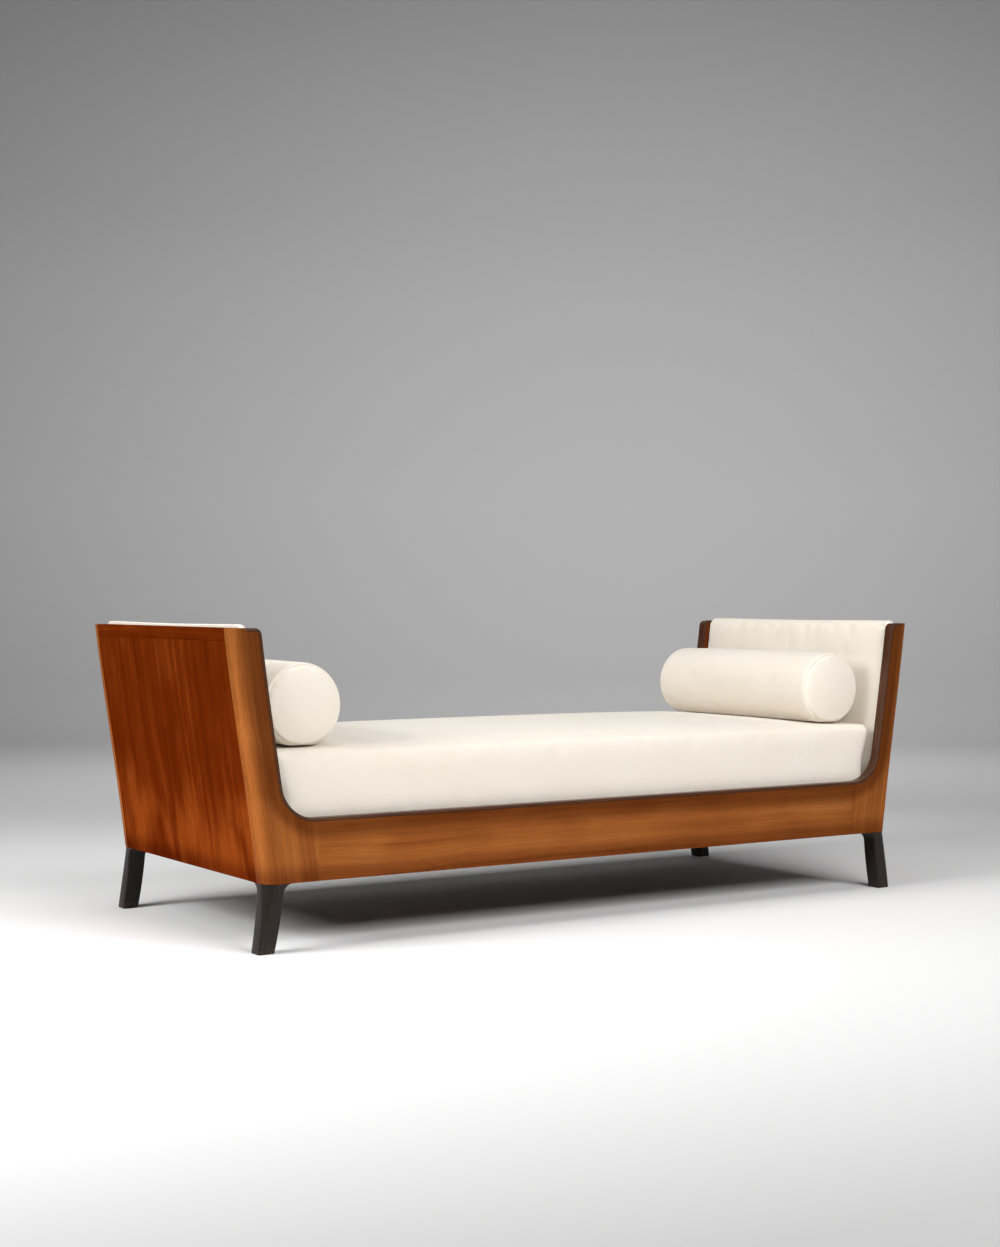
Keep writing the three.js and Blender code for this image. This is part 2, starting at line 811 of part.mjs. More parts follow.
function sidePieces(name) {
  const group = new THREE.Group();
  group.add(
    piece(`${name}_rail`, longRail(), materials.rail),
    piece(`${name}_rail_bead`, railBead(), materials.bead),
    piece(`${name}_ledger`, ledger(), materials.base),
  );
  return group;
}

const recamier = new THREE.Group();
const turns = { left: -1, right: 1, front: -1, back: 1 };
for (const end of ['left', 'right']) {
  for (const side of ['front', 'back']) {
    const corner = cornerPieces(`${side}_${end}`);
    corner.scale.set(turns[end], turns[side], 1);
    recamier.add(corner);
  }
  const whole = endPieces(end);
  whole.scale.x = turns[end];
  recamier.add(whole);
}
for (const side of ['front', 'back']) {
  const whole = sidePieces(side);
  whole.scale.y = turns[side];
  recamier.add(whole);
}

const bearerReach = crossInside + bearerHousing - fitGap;
const bearer = box(
  at(-bearerReach, -bearerWidth / 2, slatSeat - bearerHeight),
  at(bearerReach, bearerWidth / 2, slatSeat),
);
recamier.add(piece('centre_bearer', bearer, materials.base));

const slatReach = crossInside - slatMargin - slatWidth / 2;
for (let i = 0; i < slatCount; i++) {
  const mesh = piece(`slat_${i + 1}`, slat(), materials.base);
  mesh.position.set(-slatReach + (2 * slatReach * i) / (slatCount - 1), 0, slatSeat);
  recamier.add(mesh);
}
recamier.add(piece('mattress', mattress(), materials.cloth));

export default recamier;
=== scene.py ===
# %% [markdown]
# This lesson dresses a recamier, a daybed with two raised ends, around a frame of CAD parts.
# The frame gives every place and size, in metres, and nothing here moves it. So the first
# step only loads it, with helpers that read a part's box, hide a part and hang a piece on its body.

import bmesh
import bpy
import numpy as np
from mathutils import Matrix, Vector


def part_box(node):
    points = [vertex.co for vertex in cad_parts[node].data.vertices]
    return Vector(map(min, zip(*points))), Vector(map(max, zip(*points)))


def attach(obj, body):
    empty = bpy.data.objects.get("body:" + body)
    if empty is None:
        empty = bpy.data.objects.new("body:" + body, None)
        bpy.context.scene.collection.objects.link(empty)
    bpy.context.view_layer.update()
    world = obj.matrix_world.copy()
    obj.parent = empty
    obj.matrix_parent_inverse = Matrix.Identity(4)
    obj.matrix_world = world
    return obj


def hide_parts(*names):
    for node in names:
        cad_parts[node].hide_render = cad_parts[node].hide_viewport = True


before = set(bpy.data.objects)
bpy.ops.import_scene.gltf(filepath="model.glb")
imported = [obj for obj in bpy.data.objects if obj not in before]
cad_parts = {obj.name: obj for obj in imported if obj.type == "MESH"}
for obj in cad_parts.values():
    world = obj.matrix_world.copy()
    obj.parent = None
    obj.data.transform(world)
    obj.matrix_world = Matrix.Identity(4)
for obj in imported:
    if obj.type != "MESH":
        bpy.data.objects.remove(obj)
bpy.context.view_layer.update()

# %% [markdown]
# The camera stands where the photographer stood: left of the middle, a little higher than the
# ends of the daybed, and almost level. Its place and turn were found from the frame's corners. A
# matrix of three perpendicular columns sets the turn and leaves no doubt about the angles' order.

# %% Camera
def added(name, data):
    """A new object of the scene that shows the data."""
    made = bpy.data.objects.new(name, data)
    bpy.context.scene.collection.objects.link(made)
    return made


def standing(place, *columns):
    """A matrix from a place and the three directions of its columns."""
    matrix = np.eye(4)
    matrix[:3] = np.column_stack([*columns, place])
    return Matrix(matrix.tolist())


PICTURE_LONG_SIDE = 1247
FOCAL_PIXELS = 1945.9
SENSOR_WIDTH = 36.0
CAMERA_PLACE = (-3.000, -4.497, 0.827)
CAMERA_YAW = np.radians(33.19)
CAMERA_PITCH = np.radians(0.709)
CAMERA_ROLL = np.radians(0.10)


def camera_columns(yaw, pitch, roll):
    """The camera's right, up and back directions, from its turn, its dip and its tilt."""
    ahead = np.array([np.sin(yaw) * np.cos(pitch), np.cos(yaw) * np.cos(pitch), -np.sin(pitch)])
    level = np.array([np.cos(yaw), -np.sin(yaw), 0.0])
    upright = np.cross(level, ahead)
    right = level * np.cos(roll) + upright * np.sin(roll)
    up = upright * np.cos(roll) - level * np.sin(roll)
    return right, up, -ahead


camera = added("camera", bpy.data.cameras.new("camera"))
camera.matrix_world = standing(CAMERA_PLACE, *camera_columns(CAMERA_YAW, CAMERA_PITCH, CAMERA_ROLL))
camera.data.sensor_width = SENSOR_WIDTH
camera.data.lens = FOCAL_PIXELS * SENSOR_WIDTH / PICTURE_LONG_SIDE
camera.data.clip_end = 100.0
bpy.context.scene.camera = camera
print("lens:", round(camera.data.lens, 2), "mm")

# %% [markdown]
# Every shape here is a function of two parameters. A grid of parameters goes in as whole numpy
# arrays, a grid of points comes out, and this helper joins the points into faces. Modelling by
# hand would give the same daybed, but a formula can be read, changed and run again.

# %% From a grid of points to a mesh
MERGE_DISTANCE = 2e-6


def joined(*parts):
    """Coordinates from numbers or arrays, which are spread to one shape first."""
    return np.stack(np.broadcast_arrays(*parts), axis=-1)


def circle(turn):
    """Points on a circle of radius 1."""
    return joined(np.cos(turn), np.sin(turn))


def grid_quads(rows, columns):
    """Corner numbers of the quads between neighbouring rows and columns of a grid."""
    row, column = np.meshgrid(np.arange(rows - 1), np.arange(columns - 1), indexing="ij")
    here = row * columns + column
    return np.stack([here, here + 1, here + 1 + columns, here + columns], axis=-1).reshape(-1, 4)


def cleaned(mesh):
    """Merges corners in one place, drops what has no area and turns the faces outwards."""
    work = bmesh.new()
    work.from_mesh(mesh)
    bmesh.ops.remove_doubles(work, verts=work.verts, dist=MERGE_DISTANCE)
    bmesh.ops.dissolve_degenerate(work, edges=work.edges, dist=MERGE_DISTANCE)
    bmesh.ops.recalc_face_normals(work, faces=work.faces)
    work.to_mesh(mesh)
    work.free()
    mesh.polygons.foreach_set("use_smooth", np.ones(len(mesh.polygons), dtype=bool))
    mesh.update()
    return mesh


def swept_mesh(name, grid, grain):
    """A mesh through rows of points that each close on themselves, with both ends filled.

    The attribute grain holds, for each point, its place in the wood in metres: across the
    grain, into the board and along the grain.
    """
    rows, columns = grid.shape[:2]
    numbers = np.arange(rows * columns).reshape(rows, columns)
    closed = np.concatenate([numbers, numbers[:, :1]], axis=1)
    quads = closed.ravel()[grid_quads(rows, columns + 1)]
    ends = [numbers[0].tolist(), numbers[-1].tolist()]
    mesh = bpy.data.meshes.new(name)
    mesh.from_pydata(grid.reshape(-1, 3).tolist(), [], quads.tolist() + ends)
    attribute = mesh.attributes.new("grain", "FLOAT_VECTOR", "POINT")
    attribute.data.foreach_set("vector", grain.astype(np.float32).ravel())
    return cleaned(mesh)


def patched_mesh(name, patches):
    """A mesh from patches that meet edge to edge.

    A patch is a grid of points, a grid of UV places and a grid that says how near a seam is.
    """
    quads = []
    cloth = []
    first = 0
    for place, uv, seam in patches:
        patch = grid_quads(*place.shape[:2])
        quads.append(patch + first)
        cloth.append(uv.reshape(-1, 2)[patch.ravel()])
        first += place.shape[0] * place.shape[1]
    points = np.concatenate([place.reshape(-1, 3) for place, uv, seam in patches])
    mesh = bpy.data.meshes.new(name)
    mesh.from_pydata(points.tolist(), [], np.concatenate(quads).tolist())
    layer = mesh.uv_layers.new(name="cloth")
    layer.data.foreach_set("uv", np.concatenate(cloth).astype(np.float32).ravel())
    nearness = mesh.attributes.new("seam", "FLOAT", "POINT")
    seams = np.concatenate([seam.ravel() for place, uv, seam in patches])
    nearness.data.foreach_set("value", seams.astype(np.float32))
    return cleaned(mesh)


print("grid helper:", len(grid_quads(3, 4)), "quads in a grid of 3 by 4 points")

# %% [markdown]
# The ends of a recamier lean outwards in a slight double curve. Half the length of the frame is
# a straight line plus an eased step, as a share of the height, and every leaning piece takes
# its faces from this one function. The main sizes are read from the frame's own boxes.

# %% The lean of the ends
MILLIMETRE = 0.001
WAIST_HALF = 990 * MILLIMETRE
STRAIGHT_SHARE = 0.85

leg_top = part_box("front_rail")[0].z
wood_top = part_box("front_right_post")[1].z
half_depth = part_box("back_right_post")[1].y
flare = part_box("front_right_post")[1].x - WAIST_HALF
end_rise = wood_top - leg_top
joint_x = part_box("front_rail_bead")[1].x
rail_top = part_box("front_rail_bead")[1].z


def half_length(z):
    """Half the frame's length at a height: the waist plus straight and eased shares of the flare."""
    t = (z - leg_top) / end_rise
    eased = t * t * (3 - 2 * t)
    return WAIST_HALF + flare * (STRAIGHT_SHARE * t + (1 - STRAIGHT_SHARE) * eased)


def lean_slope(z):
    """How much half the length grows for each metre of height: the derivative of half_length."""
    t = (z - leg_top) / end_rise
    return flare / end_rise * (STRAIGHT_SHARE + (1 - STRAIGHT_SHARE) * 6 * t * (1 - t))


print("half length at the top:", round(half_length(wood_top), 4))

# %% [markdown]
# The studio is a round floor that turns up into a wall all the way round, a plain backdrop for
# every view. A plane and a box would meet in a line. So a profile is turned about the middle: a
# flat stretch, a quarter circle and a straight wall.

# %% Floor and backdrop
FLOOR_RADIUS = 6.6
COVE_RADIUS = 3.4
WALL_HEIGHT = 9.0
STUDIO_SIDES = 128
COVE_STEPS = 24
FLOOR_STEPS = 12


def studio_profile():
    """Radius and height along the floor, round the cove and up the wall."""
    floor = np.linspace(0.0, FLOOR_RADIUS, FLOOR_STEPS)
    turn = np.linspace(0, np.pi / 2, COVE_STEPS)
    radius = np.concatenate([floor, FLOOR_RADIUS + COVE_RADIUS * np.sin(turn), [FLOOR_RADIUS + COVE_RADIUS]])
    height = np.concatenate([0 * floor, COVE_RADIUS * (1 - np.cos(turn)), [WALL_HEIGHT]])
    return radius[:, None], height[:, None]


radius, height = studio_profile()
turn = np.linspace(0, 2 * np.pi, STUDIO_SIDES + 1)
studio_grid = joined(radius * np.cos(turn), radius * np.sin(turn), height)
studio_mesh = patched_mesh("studio", [(studio_grid, studio_grid[..., :2], 0 * studio_grid[..., 0])])
studio_mesh.flip_normals()
studio = added("studio", studio_mesh)
print("studio:", len(studio_mesh.polygons), "faces")

# %% [markdown]
# Soft studio light comes from large boxes. The main one stands high in front, so that the bed
# shades the floor under itself. One overhead and one high on the left whiten the floor and the
# tops, a smaller and lower one on the left makes the rounded corner posts shine, and a weak one
# behind keeps the back readable. The last one only lights the wall. The world adds very little,
# because light from everywhere would wash out the shadow.

# %% Lights
# Place, aim, size and watts of each box.
LIGHTS = {
    "front_box": ((0.1, -4.2, 3.2), (0.0, -0.3, 0.3), (3.0, 2.0), 192.0),
    "top_box": ((0.0, -0.5, 3.6), (0.0, -0.3, 0.0), (3.6, 2.4), 35.0),
    "left_box": ((-3.2, -0.4, 3.0), (-0.4, -0.2, 0.2), (2.0, 2.0), 44.0),
    "shine_box": ((-3.7, -0.1, 2.0), (-1.0, -0.4, 0.45), (1.6, 1.2), 80.0),
    "back_box": ((0.6, 3.4, 3.0), (0.0, 0.0, 0.3), (3.0, 1.6), 8.0),
    "wall_box": ((3.0, 3.4, 4.4), (5.4, 8.3, 1.6), (3.0, 1.5), 214.0),
}
WORLD_STRENGTH = 0.012


def aimed(place, aim):
    """A matrix that stands at a place and looks along its own minus Z at the aim."""
    back = np.array(place) - np.array(aim)
    back = back / np.linalg.norm(back)
    side = np.cross([0.0, 0.0, 1.0], back)
    side = side / np.linalg.norm(side)
    return standing(place, side, np.cross(back, side), back)


for name, (place, aim, size, watts) in LIGHTS.items():
    lamp = bpy.data.lights.new(name, "AREA")
    lamp.shape = "RECTANGLE"
    lamp.size, lamp.size_y = size
    lamp.energy = watts
    holder = added(name, lamp)
    holder.matrix_world = aimed(place, aim)
    holder.visible_camera = False

world = bpy.data.worlds.new("soft_room")
world.use_nodes = True
background = world.node_tree.nodes["Background"].inputs
background["Color"].default_value = (1.0, 1.0, 1.0, 1.0)
background["Strength"].default_value = WORLD_STRENGTH
bpy.context.scene.world = world
bpy.context.scene.view_settings.view_transform = "Standard"
print("lights:", list(LIGHTS))

# %% [markdown]
# A material is a small graph of nodes. Written out node by node it hides its own formula, so one
# class wraps a socket and gives it arithmetic: a sum of two wrapped sockets adds a Math node.
# Everything that isn't plain arithmetic comes from one method, node.

# %% A socket with arithmetic
class Wire:
    """One socket of a material's nodes. Arithmetic on it adds Math nodes."""

    def __init__(self, shader, socket):
        self.shader = shader
        self.socket = socket

    def __add__(self, other):
        return self.shader.maths("ADD", self, other)

    def __sub__(self, other):
        return self.shader.maths("SUBTRACT", self, other)

    def __rsub__(self, other):
        return self.shader.maths("SUBTRACT", other, self)

    def __mul__(self, other):
        return self.shader.maths("MULTIPLY", self, other)


class Shader:
    """A new material with a Principled surface, and the nodes that feed it."""

    def __init__(self, name, **surface):
        self.material = bpy.data.materials.new(name)
        self.material.use_nodes = True
        self.tree = self.material.node_tree
        self.surface = self.tree.nodes["Principled BSDF"]
        self.feed(**surface)

    def feed(self, **surface):
        """Sets or links sockets of the surface. Base_Color stands for Base Color."""
        for name, value in surface.items():
            self.join(self.surface.inputs[name.replace("_", " ")], value)

    def join(self, socket, value):
        """Links a wrapped socket, or sets a plain value."""
        if isinstance(value, Wire):
            self.tree.links.new(value.socket, socket)
        else:
            socket.default_value = value

    def node(self, kind, settings, inputs, output=0):
        """One node: its settings come first, then the values or links of its sockets."""
        made = self.tree.nodes.new(kind)
        stops = settings.pop("stops", None)
        for name, value in settings.items():
            setattr(made, name, value)
        if stops:
            ramp = made.color_ramp.elements
            while len(ramp) < len(stops):
                ramp.new(1.0)
            for element, (position, colour) in zip(ramp, stops):
                element.position = position
                element.color = (*colour, 1.0)
        for name, value in inputs.items():
            self.join(made.inputs[name], value)
        return Wire(self, made.outputs[output])

    def axis(self, place, letter):
        """One coordinate of a vector."""
        return self.node("ShaderNodeSeparateXYZ", {}, {0: place}, letter)

    def spot(self):
        """The Object coordinates, which are places in the whole frame."""
        return self.node("ShaderNodeTexCoord", {}, {}, "Object")

    def grain(self):
        """The place in the wood that swept_mesh stored."""
        return self.node("ShaderNodeAttribute", {"attribute_name": "grain"}, {}, "Vector")

    def maths(self, operation, first, second=0.0):
        """One Math node on two numbers or wrapped sockets."""
        return self.node("ShaderNodeMath", {"operation": operation}, {0: first, 1: second})

    def ramp(self, factor, *stops):
        """A colour, or a grey number, that follows the factor from stop to stop."""
        return self.node("ShaderNodeValToRGB", {"stops": list(stops)}, {0: factor})

    def mask(self, value, low, high):
        """A number that rises smoothly from 0 at low to 1 at high."""
        settings = {"interpolation_type": "SMOOTHSTEP"}
        return self.node("ShaderNodeMapRange", settings, {0: value, 1: low, 2: high})

    def mix(self, factor, first, second, blend="MIX"):
        """Two colours mixed by a factor."""
        settings = {"data_type": "RGBA", "blend_type": blend}
        return self.node("ShaderNodeMix", settings, {0: factor, 6: first, 7: second}, 2)

    def noise(self, place, scale, detail, roughness=0.5, distortion=0.0):
        """Noise from 0 to 1, stretched by a scale of its own along each axis of the place."""
        stretched = self.node("ShaderNodeVectorMath", {"operation": "MULTIPLY"}, {0: place, 1: scale})
        inputs = {"Vector": stretched, "Scale": 1.0, "Detail": detail}
        inputs.update({"Roughness": roughness, "Distortion": distortion})
        return self.node("ShaderNodeTexNoise", {}, inputs)

    def bump(self, height, distance, strength):
        """A normal that is tilted by the slope of a height."""
        return self.node("ShaderNodeBump", {}, {"Height": height, "Distance": distance, "Strength": strength})


print("shader helper ready")

# %% [markdown]
# The studio's paper is white round the bed, and painted shade greys it where the light falls off:
# far behind the bed, up the wall and far out in front and on the left. The grey in front and on the
# left also lets little light creep under the bed, and the polish mirrors less white. Object
# coordinates give the height, two distances and the way back from the camera. Ramps turn them
# into greys, and the greys are multiplied.

# %% Studio paint
PAINT_TOP = 6.0
# Painted shade: these greys stand in for the light falling off up the wall, in front, on the left and far
# behind the bed.
UP_THE_WALL = {0: 0.91, 0.05: 0.86, 0.14: 0.89, 0.26: 0.91, 0.39: 0.87, 0.52: 0.81, 0.64: 0.72, 0.9: 0.62}
FROM_THE_FRONT = {0: 0.35, 0.44: 0.5, 1: 1}
FROM_THE_LEFT = {0: 0.4, 1: 1}
TO_THE_BACK = {0: 1, 1: 0.55}

paint = Shader("studio_paint", Roughness=0.9)
to_right, to_back, upward = (paint.axis(paint.spot(), letter) for letter in "XYZ")
way_back = to_right * float(np.sin(CAMERA_YAW)) + to_back * float(np.cos(CAMERA_YAW))
fades = (
    (upward * (1 / PAINT_TOP), UP_THE_WALL),
    (paint.mask(to_back, -4.5, -0.4), FROM_THE_FRONT),
    (paint.mask(to_right, -5.5, -3.2), FROM_THE_LEFT),
    (paint.mask(way_back, 2.8, 6.0), TO_THE_BACK),
)
paper = (1.0, 1.0, 1.0, 1.0)
for factor, greys in fades:
    grey = paint.ramp(factor, *[(place, (level,) * 3) for place, level in greys.items()])
    paper = paint.mix(1.0, paper, grey, "MULTIPLY")
paint.feed(Base_Color=paper)
studio_mesh.materials.append(paint.material)
print("studio paint:", len(paint.tree.nodes), "nodes")

# %% [markdown]
# The veneer is cut from a figured log, stained red brown and rubbed to a warm shine. Light that
# goes into the fibres comes back coloured, and hardly any is mirrored white on top. So a part of
# the surface is metallic, which keeps the colour in the shine, and the clear reflection is weak
# or left out. Broad bands, fine streaks and short dark pores run along the grain, and slow clouds
# of figure lie across it. The borders are painted darker, about 45 mm wide along the inner line,
# where it is partly darker wood and partly painted shade, and 30 mm at the foot, where it is
# painted shade. Object coordinates give both. With a as the way into the well from the inner
# line of an end, b as the height over the rail and R as the knee's radius, the depth in the wood
# is sqrt(max(R-a,0)^2+max(R-b,0)^2) - R. On the end panels a painted reflection of the white
# floor, read from the height, makes the figure livelier and paler towards the foot.

# %% Veneer
KNEE_RADIUS = 90 * MILLIMETRE
POST_WIDTH = 74 * MILLIMETRE
INNER_FADE = (30 * MILLIMETRE, 64 * MILLIMETRE)
FOOT_FADE = (leg_top + 6 * MILLIMETRE, leg_top + 60 * MILLIMETRE)
# Painted shade: the colour that darkens the veneer's borders, along the inner line together with darker wood.
PAINTED_BORDER_SHADE = (0.54, 0.46, 0.44, 1.0)
# Painted reflection of the white floor: the figure is livelier and paler below these heights.
FLOOR_REFLECTION_FADE = (0.24, 0.46)
BAND_SHARE = 0.44
STREAK_SHARE = 0.16
CLOUD_SHARE = 0.42

line_heights = np.linspace(rail_top + KNEE_RADIUS, wood_top, 9)
line_slope, line_start = np.polyfit(line_heights, half_length(line_heights) - POST_WIDTH, 1)


def painted_border_shade(wood):
    """1 on the borders that are painted darker and 0 on its field: painted shade at the foot, darker wood and
    painted shade along the inner line.
    """
    along = wood.maths("ABSOLUTE", wood.axis(wood.spot(), "X"))
    height = wood.axis(wood.spot(), "Z")
    short_a = wood.maths("MAXIMUM", along - height * float(line_slope) + float(KNEE_RADIUS - line_start), 0.0)
    short_b = wood.maths("MAXIMUM", (KNEE_RADIUS + rail_top) - height, 0.0)
    depth = wood.maths("SQRT", short_a * short_a + short_b * short_b) - KNEE_RADIUS
    return wood.maths("MAXIMUM", 1 - wood.mask(depth, *INNER_FADE), 1 - wood.mask(height, *FOOT_FADE))


def veneer(name, dark, middle, pale, shine, floor_reflection, gloss):
    """A polished veneer whose three colours follow the bands of the grain.

    The painted reflection of the white floor, the argument before the gloss, is how much livelier
    and paler the figure gets towards the foot, and the gloss is how much light the clear polish mirrors.
    """
    wood = Shader(name, Specular_IOR_Level=gloss, Specular_Tint=(1.0, 0.4, 0.1, 1.0))
    drift = wood.noise(wood.grain(), (3.0, 3.0, 1.3), 2.0) * 0.05
    sway = wood.node("ShaderNodeVectorMath", {"operation": "SCALE"}, {0: (1.0, 1.0, 0.0), "Scale": drift})
    grain = wood.node("ShaderNodeVectorMath", {"operation": "ADD"}, {0: wood.grain(), 1: sway})
    bands = wood.noise(grain, (46.0, 20.0, 0.9), 3.0, 0.55)
    streaks = wood.noise(grain, (330.0, 120.0, 5.0), 3.0, 0.6)
    clouds = wood.noise(grain, (9.0, 9.0, 5.0), 2.0, 0.5, 0.6)
    pores = wood.mask(wood.noise(grain, (1500.0, 500.0, 42.0), 1.0), 0.66, 0.74)
    # Painted reflection of the white floor, stronger towards the foot.
    painted_reflection = (1 - wood.mask(wood.axis(wood.spot(), "Z"), *FLOOR_REFLECTION_FADE)) * floor_reflection
    tone = bands * BAND_SHARE + streaks * STREAK_SHARE + clouds * CLOUD_SHARE + painted_reflection * clouds
    colour = wood.ramp(tone, (0.28, dark), (0.52, middle), (0.78, pale))
    pored = wood.mix(pores * 0.4, colour, (*[c * 0.25 for c in dark], 1.0))
    # The base colour takes the painted shade of the borders.
    wood.feed(
        Base_Color=wood.mix(painted_border_shade(wood), pored, PAINTED_BORDER_SHADE, "MULTIPLY"),
        Metallic=wood.maths("MULTIPLY", clouds + 0.45, shine),
        Roughness=streaks * 0.16 + 0.2,
        Normal=wood.bump(clouds + pores * -0.02, 0.0006, 0.35),
    )
    return wood.material


GOLDEN_BROWN = ((0.19, 0.050, 0.011), (0.37, 0.115, 0.026), (0.52, 0.19, 0.046))
RED_BROWN = ((0.065, 0.008, 0.001), (0.12, 0.0175, 0.0015), (0.26, 0.054, 0.008))
rail_veneer = veneer("rail_veneer", *GOLDEN_BROWN, shine=0.5, floor_reflection=0.0, gloss=0.04)
# On the end panels a painted reflection of the white floor pales the figure towards the foot.
end_veneer = veneer("end_veneer", *RED_BROWN, shine=0.15, floor_reflection=0.35, gloss=0.0)
print("veneers:", rail_veneer.name, end_veneer.name)

# %% [markdown]
# The legs are ebonised: stained black and rubbed to a satin. A trace of brown grain stays, and the
# feet are dull and scuffed from the floor, which Object coordinates give by height alone.

# %% Ebonised wood and the dark bead
SCUFF_HEIGHT = 30 * MILLIMETRE
SCUFF_BROWN = (0.16, 0.11, 0.08, 1.0)


def dark_wood(name, deep, warm, gloss, scuffed):
    """A black or dark brown stained wood with fine grain and, on the feet, scuffs."""
    wood = Shader(name, Specular_IOR_Level=0.18)
    streaks = wood.noise(wood.grain(), (260.0, 260.0, 7.0), 3.0, 0.6)
    blots = wood.noise(wood.grain(), (14.0, 14.0, 8.0), 2.0)
    scratches = wood.mask(wood.noise(wood.grain(), (420.0, 420.0, 160.0), 3.0), 0.5, 0.7)
    rubbed = (1 - wood.mask(wood.axis(wood.spot(), "Z"), 0.0, SCUFF_HEIGHT)) * scratches
    stain = wood.ramp(streaks * 0.7 + blots * 0.3, (0.35, deep), (0.75, warm))
    wood.feed(
        Base_Color=wood.mix(rubbed * scuffed, stain, SCUFF_BROWN),
        Roughness=blots * 0.14 + rubbed * (0.3 * scuffed) + gloss,
        Normal=wood.bump(streaks, 0.0003, 0.4),
    )
    return wood.material


ebonised = dark_wood("ebonised_wood", (0.010, 0.008, 0.007), (0.030, 0.020, 0.015), 0.26, 0.6)
bead_wood = dark_wood("dark_bead", (0.045, 0.017, 0.008), (0.110, 0.042, 0.018), 0.22, 0.0)
print("dark woods:", ebonised.name, bead_wood.name)

# %% [markdown]
# The inner line of the front runs along the rail, round a knee, up the leaning post and over an
# ear at its top. The planks and the bead on them both need it, so it is made once, as points with
# a direction into the wood. The knee and the ear are arcs, and the lean follows half_length.

# %% The line of the inner edge
BEAD = 8 * MILLIMETRE
EAR_RADIUS = 10 * MILLIMETRE
STOCK_WIDTH = 34.3 * MILLIMETRE
FIT_GAP = 0.3 * MILLIMETRE
ARC_STEPS = 16
LEAN_STEPS = 28


def inner_edge():
    """The inner edge of a plank end from the rail, through the knee, up the lean and over the ear.

    Gives the points of the bead's outer line and the directions into the wood, as x and z.
    """
    knee_tilt = np.arctan(lean_slope(rail_top + KNEE_RADIUS))
    knee_end = rail_top + KNEE_RADIUS * (1 - np.sin(knee_tilt))
    knee_x = half_length(knee_end) - POST_WIDTH - KNEE_RADIUS * np.cos(knee_tilt)
    knee = np.array([knee_x, rail_top + KNEE_RADIUS])
    knee_into = circle(np.linspace(-np.pi / 2, -knee_tilt, ARC_STEPS))
    ear_outside = EAR_RADIUS + BEAD
    ear_height = wood_top - ear_outside
    ear_tilt = np.arctan(lean_slope(ear_height))
    ear_end = ear_height + ear_outside * np.sin(ear_tilt)
    ear = np.array([half_length(ear_end) - POST_WIDTH + ear_outside * np.cos(ear_tilt), ear_height])
    ear_out = circle(np.linspace(np.pi - ear_tilt, np.pi / 2, ARC_STEPS))
    height = np.linspace(knee_end, ear_end, LEAN_STEPS)[1:-1]
    lean = joined(half_length(height) - POST_WIDTH, height)
    lean_into = circle(-np.arctan(lean_slope(height)))
    down = np.array([[0.0, -1.0]])
    start = np.array([[joint_x, rail_top]])
    end = np.array([[half_length(wood_top) - STOCK_WIDTH - FIT_GAP, wood_top]])
    points = [start, knee + KNEE_RADIUS * knee_into, lean, ear + ear_outside * ear_out, end]
    return np.concatenate(points), np.concatenate([down, knee_into, lean_into, -ear_out, down])


edge_points, edge_into = inner_edge()
print("inner edge:", len(edge_points), "points, up to", edge_points[:, 1].max().round(4))

# %% [markdown]
# The polished edges of real joinery are never sharp: a scraper takes 0.7 mm off, and that is what
# catches the light. A Bevel modifier does it here for every edge that turns by more than a third
# of a right angle.

# %% Finish and place a wooden piece
EASED_EDGE = 0.7 * MILLIMETRE
EASED_ANGLE = np.radians(30)
SIDES = {"front": -1.0, "back": 1.0}
ENDS = {"left": -1.0, "right": 1.0}


def mirrored(grid, end=1.0, side=1.0):
    """The grid turned over to another end or side of the frame."""
    return grid * np.array([end, side, 1.0])


def placed(name, mesh, material, body, node):
    """An object for a finished mesh, with its paint, its body and the node it stands for."""
    piece = added(name, mesh)
    mesh.materials.append(material)
    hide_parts(node)
    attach(piece, body)
    return piece


def wooden(name, grid, grain, material, end=1.0, side=1.0, eased=EASED_EDGE):
    """A wooden piece at an end and side of the frame, named after its node, with eased edges."""
    mesh = swept_mesh(name, mirrored(grid, end, side), grain)
    mesh.set_sharp_from_angle(angle=EASED_ANGLE)
    piece = placed(f"{name}_dressed", mesh, material, "frame", name)
    bevel = piece.modifiers.new("eased_edges", "BEVEL")
    bevel.width = eased
    bevel.segments = 2
    bevel.limit_method = "ANGLE"
    bevel.angle_limit = EASED_ANGLE
    bevel.harden_normals = True


def at_corners(kind, grid, grain, shift, material, eased=EASED_EDGE):
    """One shape at all four corners of the frame, each cut from another place in the wood."""
    for end, end_sign in ENDS.items():
        for side, side_sign in SIDES.items():
            place = grain + np.array([end_sign, side_sign, end_sign * side_sign]) * shift
            wooden(f"{side}_{end}_{kind}", grid, place, material, end_sign, side_sign, eased)


# %% [markdown]
# A corner post is stock with a rounded outer corner and a plank that turns into the rail. At each
# height the section is a closed ring: round the corner, along the land where the end panel
# starts, in and back to the plank, and out to the inner edge. Only that edge changes by the row.

# %% Corner posts
CORNER_RADIUS = 38 * MILLIMETRE
STOCK_DEPTH = 46 * MILLIMETRE
PLANK = 26 * MILLIMETRE
CORNER_STEPS = 14

wood_points = edge_points + edge_into * BEAD


